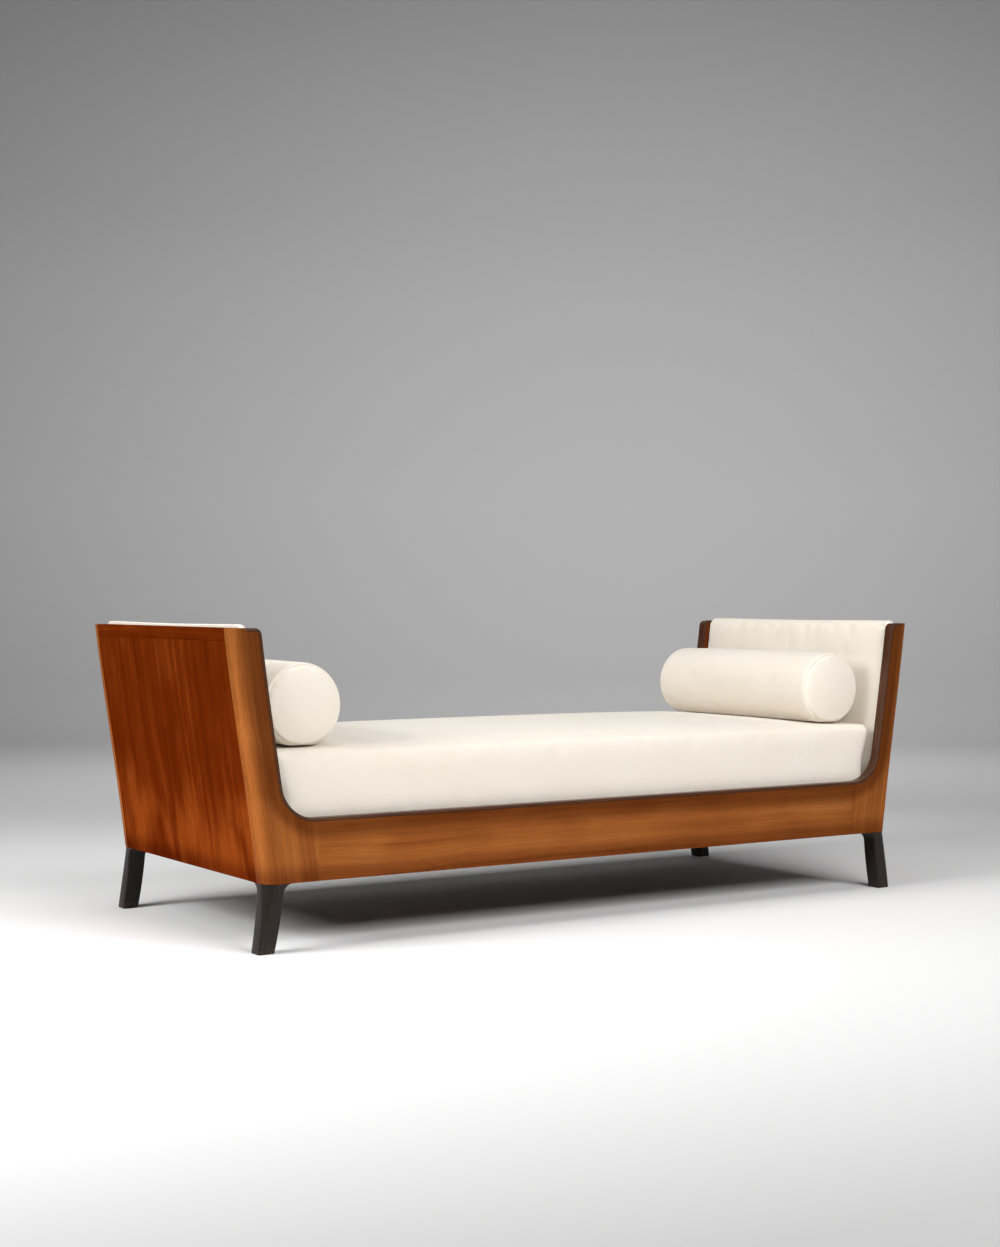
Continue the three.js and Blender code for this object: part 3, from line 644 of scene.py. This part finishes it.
def corner_post():
    """Rows of the post's section from its foot to its top, and the place in the wood of each point."""
    rows = np.concatenate([[[joint_x, leg_top]], wood_points, [[wood_points[-1, 0], wood_top]]])
    height = rows[:, 1:]
    reach = half_length(height) - rows[:, :1]
    corner = CORNER_RADIUS * (1 + circle(np.linspace(-np.pi / 2, -np.pi, CORNER_STEPS)))
    fixed = np.concatenate([corner[:, 0], [0.0, STOCK_WIDTH, STOCK_WIDTH]])
    depth_in = np.concatenate([np.tile(fixed, (len(rows), 1)), reach, reach], axis=1)
    back_in = np.concatenate([corner[:, 1], [STOCK_DEPTH, STOCK_DEPTH, PLANK, PLANK, 0.0]])
    grid = joined(half_length(height) - depth_in, half_depth - back_in, height)
    return grid, joined(depth_in, back_in, height)


post_grid, post_grain = corner_post()
at_corners("post", post_grid, post_grain, (0.7, 0.4, 0.3), rail_veneer)
print("posts:", post_grid.shape)

# %% [markdown]
# A thin dark bead covers the inner edge of the planks. Its section has a rounded nose that stands
# a little proud of the front. It is carried along the line that cut the planks, as a joiner bends
# a bead round a shaped edge.

# %% Beads
NOSE = 1.5 * MILLIMETRE
NOSE_ROUND = 3.2 * MILLIMETRE
NOSE_STEPS = 6


def run_along(points):
    """The length of the way from the first point to each point."""
    return np.concatenate([[0.0], np.cumsum(np.linalg.norm(np.diff(points, axis=0), axis=1))])


def bead_section():
    """Depth into the wood and distance back from the front, round the bead's section."""
    thick = BEAD - FIT_GAP
    turn = np.linspace(0, np.pi / 2, NOSE_STEPS)
    depth = NOSE_ROUND * (1 - np.cos(turn))
    back = NOSE_ROUND * (1 - np.sin(turn)) - NOSE
    depth = np.concatenate([[0.0], depth, thick - depth[::-1], [thick]])
    back = np.concatenate([[PLANK], back, back[::-1], [PLANK]])
    return depth, back


def bead_grid(points, into):
    """The bead's section carried along a line of points, with the run along it as the grain."""
    depth, back = bead_section()
    x = points[:, :1] + into[:, :1] * depth
    z = points[:, 1:] + into[:, 1:] * depth
    return joined(x, half_depth - back, z), joined(depth, back, run_along(points)[:, None])


post_bead, post_bead_grain = bead_grid(edge_points, edge_into)
at_corners("post_bead", post_bead, post_bead_grain + 1.0, (0.0, 0.0, 0.0), bead_wood)
rail_line = joined(np.array([-joint_x, 0.0, joint_x]), rail_top)
rail_bead, rail_bead_grain = bead_grid(rail_line, np.array([[0.0, -1.0]] * 3))
for side, side_sign in SIDES.items():
    wooden(f"{side}_rail_bead", rail_bead, rail_bead_grain, bead_wood, side=side_sign)
print("bead section:", len(bead_section()[0]), "points")

# %% [markdown]
# The long rails are plain boards, so a rectangle carried along X is enough. The veneer on them
# runs lengthwise, which is why the grain's third axis is X here and was Z on the posts.

# %% Long rails
RAIL_STEPS = 9

along = np.linspace(-joint_x, joint_x, RAIL_STEPS)[:, None]
height = np.array([leg_top, rail_top - BEAD, rail_top - BEAD, leg_top])
back = np.array([0.0, 0.0, PLANK, PLANK])
grid = joined(along, half_depth - back, height)
for side, side_sign in SIDES.items():
    grain = joined(height + 0.31, back, along + 0.8 * side_sign)
    wooden(f"{side}_rail", grid, grain, rail_veneer, side=side_sign)
print("rails:", grid.shape)

# %% [markdown]
# The end panels and the crest rails over them are boards too, but they follow the lean. Rows of
# a four-cornered section go up in small steps, and each row asks half_length for its place.

# %% End panels and crest rails
PANEL = 22 * MILLIMETRE
CREST = 30 * MILLIMETRE
PANEL_STEPS = 25
CREST_STEPS = 4
SEAM_HALF = half_depth - STOCK_DEPTH - FIT_GAP
across = np.array([-SEAM_HALF, SEAM_HALF, SEAM_HALF, -SEAM_HALF])
crest_low = wood_top - CREST


def leaning_board(low, high, thickness, steps):
    """A board that leans with the ends, as rows from low to high, with its depths and heights."""
    height = np.linspace(low, high, steps)[:, None]
    depth_in = np.array([0.0, 0.0, thickness, thickness])
    return joined(half_length(height) - depth_in, across, height), depth_in, height


for end, end_sign in ENDS.items():
    grid, depth_in, height = leaning_board(leg_top, crest_low - FIT_GAP, PANEL, PANEL_STEPS)
    grain = joined(across + 2.3 * end_sign, depth_in, height)
    wooden(f"{end}_end_panel", grid, grain, end_veneer, end_sign)
    grid, depth_in, height = leaning_board(crest_low, wood_top, STOCK_WIDTH, CREST_STEPS)
    grain = joined(height, depth_in, across + 1.1 * end_sign)
    wooden(f"{end}_crest_rail", grid, grain, end_veneer, end_sign)
print("end panels up to", round(crest_low, 3))

# %% [markdown]
# The sabre legs sweep outwards to a small foot and spread into the frame at the top. Each ring is
# a square: its outer corner grows as round as the post above it, and the inner ones are nearly
# sharp. The sweep, the taper and the spread are functions of the height.

# %% Sabre legs
FOOT_SIZE = 42 * MILLIMETRE
FOOT_RADIUS = 7 * MILLIMETRE
FOOT_EASE = 2 * MILLIMETRE
INNER_RADIUS = 3.5 * MILLIMETRE
LEG_TAPER = 8 * MILLIMETRE
LEG_INSET = 1.5 * MILLIMETRE
FOOT_SWEEP = 16 * MILLIMETRE
FOOT_TUCK = 7.5 * MILLIMETRE
SWEEP_POWER = 1.7
LEG_EASED_EDGE = 0.4 * MILLIMETRE
LEG_STEPS = 26
LEG_CORNER_STEPS = 9


def sabre_leg():
    """Rings of the leg from the floor up, two close together at the foot and finer near the top."""
    rise = 1 - (1 - np.linspace(0, 1, LEG_STEPS)) ** 1.6
    height = np.concatenate([[0.0, FOOT_EASE * 0.3], FOOT_EASE + (leg_top - FOOT_EASE) * rise])[:, None]
    t = height / leg_top
    knee = POST_WIDTH - FOOT_SIZE - LEG_TAPER
    rise = np.clip(height - (leg_top - knee), 0, knee)
    spread = knee - np.sqrt(knee * knee - rise * rise)
    ease = np.clip(1 - height / FOOT_EASE, 0, 1) ** 2 * FOOT_EASE
    size = FOOT_SIZE + (LEG_TAPER - LEG_INSET) * t + spread - ease
    out_x = half_length(leg_top) - LEG_INSET + FOOT_SWEEP * (1 - t) ** SWEEP_POWER - ease
    out_y = half_depth - LEG_INSET - FOOT_TUCK * (1 - t) - ease
    outer = FOOT_RADIUS + (CORNER_RADIUS - LEG_INSET - FOOT_RADIUS) * t * t
    low_x = out_x - size + ease
    low_y = out_y - size + ease
    rings = []
    corners = ((out_x, out_y, 1, 1), (low_x, out_y, -1, 1), (low_x, low_y, -1, -1), (out_x, low_y, 1, -1))
    for quarter, (x, y, way_x, way_y) in enumerate(corners):
        radius = INNER_RADIUS if quarter else outer
        turn = np.linspace(quarter, quarter + 1, LEG_CORNER_STEPS) * np.pi / 2
        ring_x = x - radius * way_x + radius * np.cos(turn)
        ring_y = y - radius * way_y + radius * np.sin(turn)
        rings.append(joined(ring_x, ring_y, height))
    return np.concatenate(rings, axis=1)


leg = sabre_leg()
at_corners("leg", leg, leg, (0.2, 0.5, 0.0), ebonised, LEG_EASED_EDGE)
print("legs:", leg.shape, "foot reach", leg[..., 0].max().round(4))

# %% [markdown]
# Cushions are sewn from cloth panels: two faces and a border between them. A ball or a scaled cube
# would have poles or pinched corners, so each panel is a grid whose corner zones are bent from
# squares to quarter discs. The border runs round that outline and follows a profile of insets and
# levels. So one function makes a mattress, a pad and, of corner zones alone, a round bolster.

# %% Panels of a stuffed form
PANEL_CLOTH_START = 3.0


def zone_nodes(half, corner, cells, corner_cells):
    """Nodes across a panel: where each stands before its corner zone, and how far it is in it."""
    into = np.linspace(0, 1, corner_cells + 1)[1:]
    middle = np.linspace(-1, 1, cells + 1) if cells else np.zeros(1)
    fixed = np.concatenate([-np.ones(corner_cells), middle, np.ones(corner_cells)]) * (half - corner)
    bend = np.concatenate([-into[::-1], 0 * middle, into])
    return fixed, bend


def plan(nodes_a, nodes_b, radius):
    """Places in the plan. In a corner zone each direction shrinks by the root of 1 - other² / 2."""
    fixed_a, bend_a = nodes_a
    fixed_b, bend_b = nodes_b
    a = fixed_a + radius * bend_a * np.sqrt(1 - bend_b**2 / 2)
    b = fixed_b + radius * bend_b * np.sqrt(1 - bend_a**2 / 2)
    return a, b


def border_nodes(nodes_a, nodes_b):
    """The nodes on the rim of a panel, once round and back to the first."""
    last_a = len(nodes_a[0]) - 1
    last_b = len(nodes_b[0]) - 1
    up_a = np.arange(last_a)
    up_b = np.arange(last_b)
    a = np.concatenate([up_a, np.full(last_b, last_a), last_a - up_a, 0 * up_b, [0]])
    b = np.concatenate([0 * up_a, up_b, np.full(last_a, last_b), last_b - up_b, [0]])
    return [n[a] for n in nodes_a], [n[b] for n in nodes_b]


def stuffed_patches(nodes_a, nodes_b, corner, profile, shape):
    """Two panels and a border. The profile's rows are inset, level and nearness to a seam.

    The shape function turns places in the plan and a level into points. Its last argument is
    -1 on the first panel, 0 on the border and 1 on the last panel.
    """
    rim_a, rim_b = border_nodes(nodes_a, nodes_b)
    a, b = plan(rim_a, rim_b, corner - profile[:, 0, None])
    border = shape(a, b, profile[:, 1, None], 0)
    steps = np.linalg.norm(np.diff(border, axis=1), axis=2).max(axis=0)
    round_run = np.concatenate([[0.0], np.cumsum(steps)])
    cloth = joined(round_run, run_along(profile[:, :2])[:, None])
    patches = [(border, cloth, profile[:, 2, None] + 0 * a)]
    column = [n[:, None] for n in nodes_a]
    for side, end in ((-1, 0), (1, -1)):
        a, b = plan(column, nodes_b, corner - profile[end, 0])
        patches.append((shape(a, b, profile[end, 1], side), joined(a, b) + PANEL_CLOTH_START, 0 * a))
    return patches


def rounded_profile(thickness, back_round, face_round, waist, steps):
    """Inset and level from the back of a boxed cushion, up its side and over to its face.

    Each edge is a quarter circle and the side between them is drawn in by the waist.
    """
    turn = np.linspace(0, np.pi / 2, steps)
    back = back_round * (1 - joined(np.sin(turn), np.cos(turn)))
    rise = np.linspace(0, 1, steps + 1)[1:-1]
    high = thickness - face_round
    side = joined(waist * np.sin(np.pi * rise), back_round + (high - back_round) * rise)
    face = joined(face_round * (1 - np.cos(turn)), high + face_round * np.sin(turn))
    return np.concatenate([back, side, face])


def boxed_plan(a, b, half_a, half_b, draw):
    """A boxed cushion's plan and how far its crown stands: 1 in the middle and 0 at the rim.

    Each side is drawn in between its corners, by a squared cosine.
    """
    share_a = np.minimum(1, np.abs(a / half_a))
    share_b = np.minimum(1, np.abs(b / half_b))
    drawn_a = a - a / half_a * draw * np.cos(np.pi / 2 * share_b) ** 2
    drawn_b = b - b / half_b * draw * np.cos(np.pi / 2 * share_a) ** 2
    return drawn_a, drawn_b, (1 - share_a**3) * (1 - share_b**3)


print("panel helper ready")

# %% [markdown]
# Cloth gives what a formula can't: it swells between its seams and makes small folds where it is
# too long. So each cushion gets twenty frames of cloth with a little pressure and some slack,
# held at its seams and where it rests. No point may move further than a limit, which it nears
# softly, so that the cushion stays in its place.

# %% Swell a cushion
SWELL_FRAMES = 20
CLOTH = {
    "quality": 5,
    "mass": 0.3,
    "tension_stiffness": 20.0,
    "compression_stiffness": 20.0,
    "bending_stiffness": 0.4,
    "use_pressure": True,
    "uniform_pressure_force": 3.0,
}
SLACK = 0.01
SEAM_CORE = 0.9


def read_rows(items, field, width):
    """A field of each item as an array, one row for each."""
    flat = np.empty(len(items) * width, dtype=np.float32)
    items.foreach_get(field, flat)
    return flat.reshape(-1, width).astype(float)


def read_points(mesh):
    """The points of a mesh as an array."""
    return read_rows(mesh.vertices, "co", 3)


def swelled(piece, held, slack, limit):
    """Runs the cloth and keeps its result: rest plus the move, shortened to stay under the limit."""
    rest = read_points(piece.data)
    group = piece.vertex_groups.new(name="held")
    group.add(np.flatnonzero(held).tolist(), 1.0, "REPLACE")
    cloth = piece.modifiers.new("swell", "CLOTH")
    for name, value in CLOTH.items():
        setattr(cloth.settings, name, value)
    cloth.settings.shrink_min = -slack
    cloth.settings.effector_weights.gravity = 0.0
    cloth.settings.vertex_group_mass = group.name
    cloth.collision_settings.use_collision = False
    for number in range(1, SWELL_FRAMES + 1):
        bpy.context.scene.frame_set(number)
    graph = bpy.context.evaluated_depsgraph_get()
    moved = read_points(piece.evaluated_get(graph).data) - rest
    piece.modifiers.remove(cloth)
    piece.vertex_groups.clear()
    bpy.context.scene.frame_set(1)
    length = np.maximum(np.linalg.norm(moved, axis=1, keepdims=True), 1e-9)
    print(piece.name, "moved at most", length.max().round(4), "and on average", length.mean().round(4))
    return rest + moved / length * (limit * np.tanh(length / limit))


def set_points(mesh, points):
    """Puts points back into a mesh."""
    mesh.vertices.foreach_set("co", points.astype(np.float32).ravel())
    mesh.update()


def settled(piece, resting, slack, limit, seam_depth):
    """Swells the piece with its seams and its resting points held, and then draws the seams in."""
    mesh = piece.data
    seam = read_rows(mesh.attributes["seam"].data, "value", 1)
    points = swelled(piece, resting | (seam[:, 0] > SEAM_CORE), slack, limit)
    set_points(mesh, points)
    set_points(mesh, points - read_rows(mesh.vertex_normals, "vector", 3) * seam * seam_depth)
    smooth = piece.modifiers.new("smooth_cloth", "SUBSURF")
    smooth.levels = 1
    smooth.render_levels = 1


# %% [markdown]
# The upholstery is a plain weave of cotton and linen in a warm cream. Its threads follow the UV
# map of each panel, as on cloth that was cut flat. Warp and weft are two sine waves, and their
# product is the weave. Slubs, the thicker bits of thread, are noise stretched along one direction
# or the other. The underside of the mattress, on the slats, is a black lining instead.

# %% Upholstery cloth
THREAD = 1.3 * MILLIMETRE
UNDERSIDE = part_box("mattress")[0].z
LINING_EDGE = (UNDERSIDE + 1 * MILLIMETRE, UNDERSIDE + 4 * MILLIMETRE)
LINING_BLACK = (0.02, 0.02, 0.022, 1.0)


def woven(name, cream, pale):
    """A matt woven cloth in two near tones."""
    cloth = Shader(name, Sheen_Weight=0.12, Sheen_Roughness=0.6)
    uv = cloth.node("ShaderNodeUVMap", {"uv_map": "cloth"}, {})
    warp = cloth.maths("SINE", cloth.axis(uv, "X") * (2 * np.pi / THREAD))
    weft = cloth.maths("SINE", cloth.axis(uv, "Y") * (2 * np.pi / THREAD))
    slubs = cloth.noise(uv, (900.0, 26.0, 1.0), 2.0) + cloth.noise(uv, (26.0, 900.0, 1.0), 2.0)
    drift = cloth.noise(uv, (5.0, 5.0, 1.0), 3.0)
    puckers = cloth.noise(uv, (16.0, 11.0, 1.0), 2.0, 0.5, 0.4)
    weave = warp * weft * 0.5 + slubs
    above = cloth.mask(cloth.axis(cloth.spot(), "Z"), *LINING_EDGE)
    shade = cloth.ramp(slubs * 0.35 + drift * 0.3, (0.32, cream), (0.68, pale))
    cloth.feed(
        Base_Color=cloth.mix(above, LINING_BLACK, shade),
        Roughness=drift * 0.1 + 0.84,
        Normal=cloth.bump(weave * 0.05 + puckers, 0.004, 0.5),
    )
    return cloth.material


upholstery = woven("upholstery", (0.79, 0.72, 0.62), (0.85, 0.79, 0.70))
print("cloth:", len(upholstery.node_tree.nodes), "nodes")

# %% [markdown]
# The mattress lies in a well between the rails, and its ends lean with the frame. It is a boxed
# cushion: a crowned top, a border, and a flat bottom on the slats. Its two seams are drawn in a
# little after the cloth has run, because a seam is stiffer than the cloth beside it.

# %% Mattress
SEAM_DEPTH = 2.4 * MILLIMETRE
SEAM_WIDTH = 3.5 * MILLIMETRE


def seamed(profile, seams, reach):
    """The profile with finer rows beside its seams, and a third column: how near a seam is.

    The new rows stand a reach away on both sides of each seam. The column is 1 on a seam.
    """
    rows = []
    for number, place in enumerate(profile):
        rows.append(place)
        if number in seams:
            before = profile[number - 1] - place
            after = profile[number + 1] - place
            rows.insert(-1, place + before / np.linalg.norm(before) * reach)
            rows.append(place + after / np.linalg.norm(after) * reach)
    run = run_along(np.array(rows))
    sewn = run[[seam + 2 * number + 1 for number, seam in enumerate(seams)]]
    nearness = np.exp(-(((run[:, None] - sewn) / SEAM_WIDTH) ** 2)).max(axis=1)
    return np.concatenate([rows, nearness[:, None]], axis=1)


def stuffed(name, node, body, patches, end=1.0):
    """A stuffed piece at an end of the frame, from patches for the right end."""
    patches = [(mirrored(place, end), uv, seam) for place, uv, seam in patches]
    piece = placed(name, patched_mesh(name, patches), upholstery, body, node)
    return piece


MATTRESS_FOOT_ROUND = 16 * MILLIMETRE
MATTRESS_TOP_ROUND = 24 * MILLIMETRE
MATTRESS_CORNER = 28 * MILLIMETRE
MATTRESS_CROWN = 20 * MILLIMETRE
MATTRESS_DRAW = 5 * MILLIMETRE
MATTRESS_WAIST = 4 * MILLIMETRE
MATTRESS_END_GAP = 2 * MILLIMETRE
MATTRESS_SEAM_REACH = 4 * MILLIMETRE
MATTRESS_SWELL = 4 * MILLIMETRE
ROUND_STEPS = 9

mattress_low, mattress_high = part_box("mattress")
mattress_thick = mattress_high.z - mattress_low.z - MATTRESS_CROWN
mattress_half_width = mattress_high.y
bolster_low, bolster_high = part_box("right_bolster")


def mattress_half_length(z):
    """Half the mattress's length at a height, a little short of the posts."""
    return half_length(z) - POST_WIDTH - MATTRESS_END_GAP


mattress_half = mattress_half_length(mattress_low.z)


def mattress_shape(a, b, level, panel):
    """Places in the plan and levels as points: sides drawn in, top crowned, ends leaning."""
    drawn_a, drawn_b, crown = boxed_plan(a, b, mattress_half, mattress_half_width, MATTRESS_DRAW)
    rise = np.clip(level / mattress_thick * 2 - 1, 0, 1)
    z = mattress_low.z + level + rise * MATTRESS_CROWN * crown
    return joined(drawn_a * mattress_half_length(z) / mattress_half, drawn_b, z)


rounds = (MATTRESS_FOOT_ROUND, MATTRESS_TOP_ROUND)
profile = rounded_profile(mattress_thick, *rounds, MATTRESS_WAIST, ROUND_STEPS)
middle = ROUND_STEPS // 2
profile = seamed(profile, (middle, len(profile) - 1 - middle), MATTRESS_SEAM_REACH)
nodes_a = zone_nodes(mattress_half, MATTRESS_CORNER, cells=110, corner_cells=5)
nodes_b = zone_nodes(mattress_half_width, MATTRESS_CORNER, cells=44, corner_cells=5)
patches = stuffed_patches(nodes_a, nodes_b, MATTRESS_CORNER, profile, mattress_shape)
mattress = stuffed("mattress_cushion", "mattress", "mattress", patches)
points = read_points(mattress.data)
on_slats = points[:, 2] < mattress_low.z + MATTRESS_FOOT_ROUND / 2
near_top = points[:, 2] > mattress_high.z - 2 * MATTRESS_TOP_ROUND
under_bolster = near_top & (np.abs(points[:, 0]) > bolster_low.x)
settled(mattress, on_slats | under_bolster, SLACK, MATTRESS_SWELL, SEAM_DEPTH)
print("mattress:", len(mattress.data.vertices), "points")

# %% [markdown]
# Each end pad is a thinner cushion that leans with the end. Its back is flat on its board, its
# face is crowned, and its top stands a little above the wood. The plan's two directions are Y
# and Z here, and the level is measured inwards from the board.

# %% End pads
PAD_EDGE = 24 * MILLIMETRE
PAD_CROWN = 16 * MILLIMETRE
PAD_ROUND = 14 * MILLIMETRE
PAD_BACK_ROUND = 3 * MILLIMETRE
PAD_CORNER = 24 * MILLIMETRE
PAD_DRAW = 2 * MILLIMETRE
PAD_SEAM_REACH = 2.8 * MILLIMETRE
PAD_SEAM_DEPTH = 1.6 * MILLIMETRE
PAD_SWELL = 3 * MILLIMETRE
BOLSTER_REACH = 400 * MILLIMETRE

pad_low, pad_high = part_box("right_end_pad")
pad_half_width = pad_high.y
pad_half_height = (pad_high.z - pad_low.z) / 2
pad_middle = (pad_high.z + pad_low.z) / 2


def board_face(z):
    """How far from the middle of the frame the face of a pad's board stands at a height."""
    return half_length(z) - STOCK_WIDTH - FIT_GAP


def pad_shape(a, b, level, panel):
    """Places across and up the pad as points, with the level measured inwards from the board."""
    drawn_a, drawn_b, crown = boxed_plan(a, b, pad_half_width, pad_half_height, PAD_DRAW)
    rise = np.clip(level / PAD_EDGE * 2 - 1, 0, 1)
    z = pad_middle + drawn_b
    return joined(board_face(z) - level - rise * PAD_CROWN * crown, drawn_a, z)


profile = rounded_profile(PAD_EDGE, PAD_BACK_ROUND, PAD_ROUND, waist=0.0, steps=5)
profile = seamed(profile, (len(profile) - 3,), PAD_SEAM_REACH)
nodes_a = zone_nodes(pad_half_width, PAD_CORNER, cells=56, corner_cells=4)
nodes_b = zone_nodes(pad_half_height, PAD_CORNER, cells=32, corner_cells=4)
pad_patches = stuffed_patches(nodes_a, nodes_b, PAD_CORNER, profile, pad_shape)
for end, end_sign in ENDS.items():
    pad = stuffed(f"{end}_pad_cushion", f"{end}_end_pad", "frame", pad_patches, end_sign)
    points = read_points(pad.data)
    on_board = board_face(points[:, 2]) - np.abs(points[:, 0]) < PAD_EDGE / 3
    behind_bolster = (np.abs(points[:, 1]) < BOLSTER_REACH) & (points[:, 2] < bolster_high.z)
    settled(pad, on_board | behind_bolster, SLACK, PAD_SWELL, PAD_SEAM_DEPTH)
print("pads:", len(pad.data.vertices), "points each")

# %% [markdown]
# A bolster is a roll with a round panel sewn into each end. The panel helper makes it when the
# plan is nothing but corner zones and the level runs along Y. It sinks a little into the
# mattress, so its underside is flat, and it lies loose, about 25 mm from the pad.

# %% Bolsters
BOLSTER_ROUND = 18 * MILLIMETRE
BOLSTER_BULGE = 12 * MILLIMETRE
BOLSTER_FLAT_SHARE = 0.93
BOLSTER_SEAM_REACH = 3.2 * MILLIMETRE
BOLSTER_SWELL = 3 * MILLIMETRE
BOLSTER_SINK = 6 * MILLIMETRE

bolster_radius = (bolster_high.x - bolster_low.x) / 2
bolster_x = (bolster_high.x + bolster_low.x) / 2
bolster_z = bolster_high.z - bolster_radius
bolster_y = (bolster_high.y + bolster_low.y) / 2
bolster_half = bolster_high.y - bolster_y


def bolster_shape(a, b, level, panel):
    """Places in the round plan as X and Z, and the level as Y. The end panels bulge like a lens."""
    inner = bolster_radius - BOLSTER_ROUND
    lens = np.clip(1 - (a * a + b * b) / inner**2, 0, 1)
    y = level + panel * BOLSTER_BULGE * lens
    z = np.maximum(b, -bolster_radius * BOLSTER_FLAT_SHARE)
    return joined(bolster_x + a, bolster_y + y, bolster_z + z)


def bolster_profile():
    """From one round panel, over its seam, along the roll and to the other panel."""
    turn = np.linspace(0, np.pi / 2, 7)
    edge = bolster_half - BOLSTER_BULGE
    start = joined(BOLSTER_ROUND * (1 - np.sin(turn)), BOLSTER_ROUND * (1 - np.cos(turn)) - edge)
    roll = joined(0.0, np.linspace(-edge + BOLSTER_ROUND, edge - BOLSTER_ROUND, 58)[1:-1])
    return np.concatenate([start, roll, start[::-1] * np.array([1.0, -1.0])])


profile = bolster_profile()
profile = seamed(profile, (3, len(profile) - 4), BOLSTER_SEAM_REACH)
nodes = zone_nodes(bolster_radius, bolster_radius, cells=0, corner_cells=12)
bolster_patches = stuffed_patches(nodes, nodes, bolster_radius, profile, bolster_shape)
for end, end_sign in ENDS.items():
    node = f"{end}_bolster"
    bolster = stuffed(f"{end}_bolster_cushion", node, node, bolster_patches, end_sign)
    resting = read_points(bolster.data)[:, 2] < bolster_low.z + BOLSTER_SINK
    settled(bolster, resting, 2 * SLACK, BOLSTER_SWELL, SEAM_DEPTH)
print("bolsters:", len(bolster.data.vertices), "points each")

# %% [markdown]
# What nobody sees at a glance still shows in the other views: the bed base of beech, stained dark
# and not polished, the plywood behind the pads and the steel of the leg bolts. These CAD pieces
# stay as they are and only get a better surface. Their grain reads Object coordinates, stretched
# along most pieces' longest side.

# %% Plain wood, plywood and steel
def plain_wood(name, dark, pale, stretch):
    """Planed wood without polish, its grain stretched along one direction."""
    wood = Shader(name, Roughness=0.7)
    bands = wood.noise(wood.spot(), stretch, 3.0, 0.6)
    flecks = wood.noise(wood.spot(), tuple(9 * scale for scale in stretch), 2.0)
    tone = bands * 0.6 + flecks * 0.4
    wood.feed(Base_Color=wood.ramp(tone, (0.35, dark), (0.65, pale)), Normal=wood.bump(flecks, 0.0004, 0.5))
    return wood.material


BEECH = ((0.032, 0.019, 0.012), (0.062, 0.039, 0.025))
beech_along_x = plain_wood("beech_along_x", *BEECH, (1.5, 40.0, 40.0))
beech_along_y = plain_wood("beech_along_y", *BEECH, (40.0, 1.5, 40.0))
plywood = plain_wood("plywood", (0.50, 0.34, 0.19), (0.60, 0.43, 0.26), (20.0, 20.0, 1.5))
steel = Shader("bright_steel", Metallic=1.0)
brushed = steel.noise(steel.spot(), (300.0, 300.0, 40.0), 2.0)
metal = steel.ramp(brushed, (0.3, (0.42, 0.42, 0.41)), (0.7, (0.58, 0.58, 0.57)))
steel.feed(Base_Color=metal, Roughness=brushed * 0.2 + 0.3)


def base_material(node):
    """The material of a CAD node that stays in view."""
    if node.endswith("leg_bolt"):
        return steel.material
    if node.endswith("pad_board"):
        return plywood
    if node.endswith(("ledger", "bearer")):
        return beech_along_x
    return beech_along_y


shown = [node for node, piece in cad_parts.items() if not piece.hide_render]
for node in shown:
    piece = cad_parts[node]
    piece.data.materials.clear()
    piece.data.materials.append(base_material(node))
print("CAD pieces in view:", len(shown))
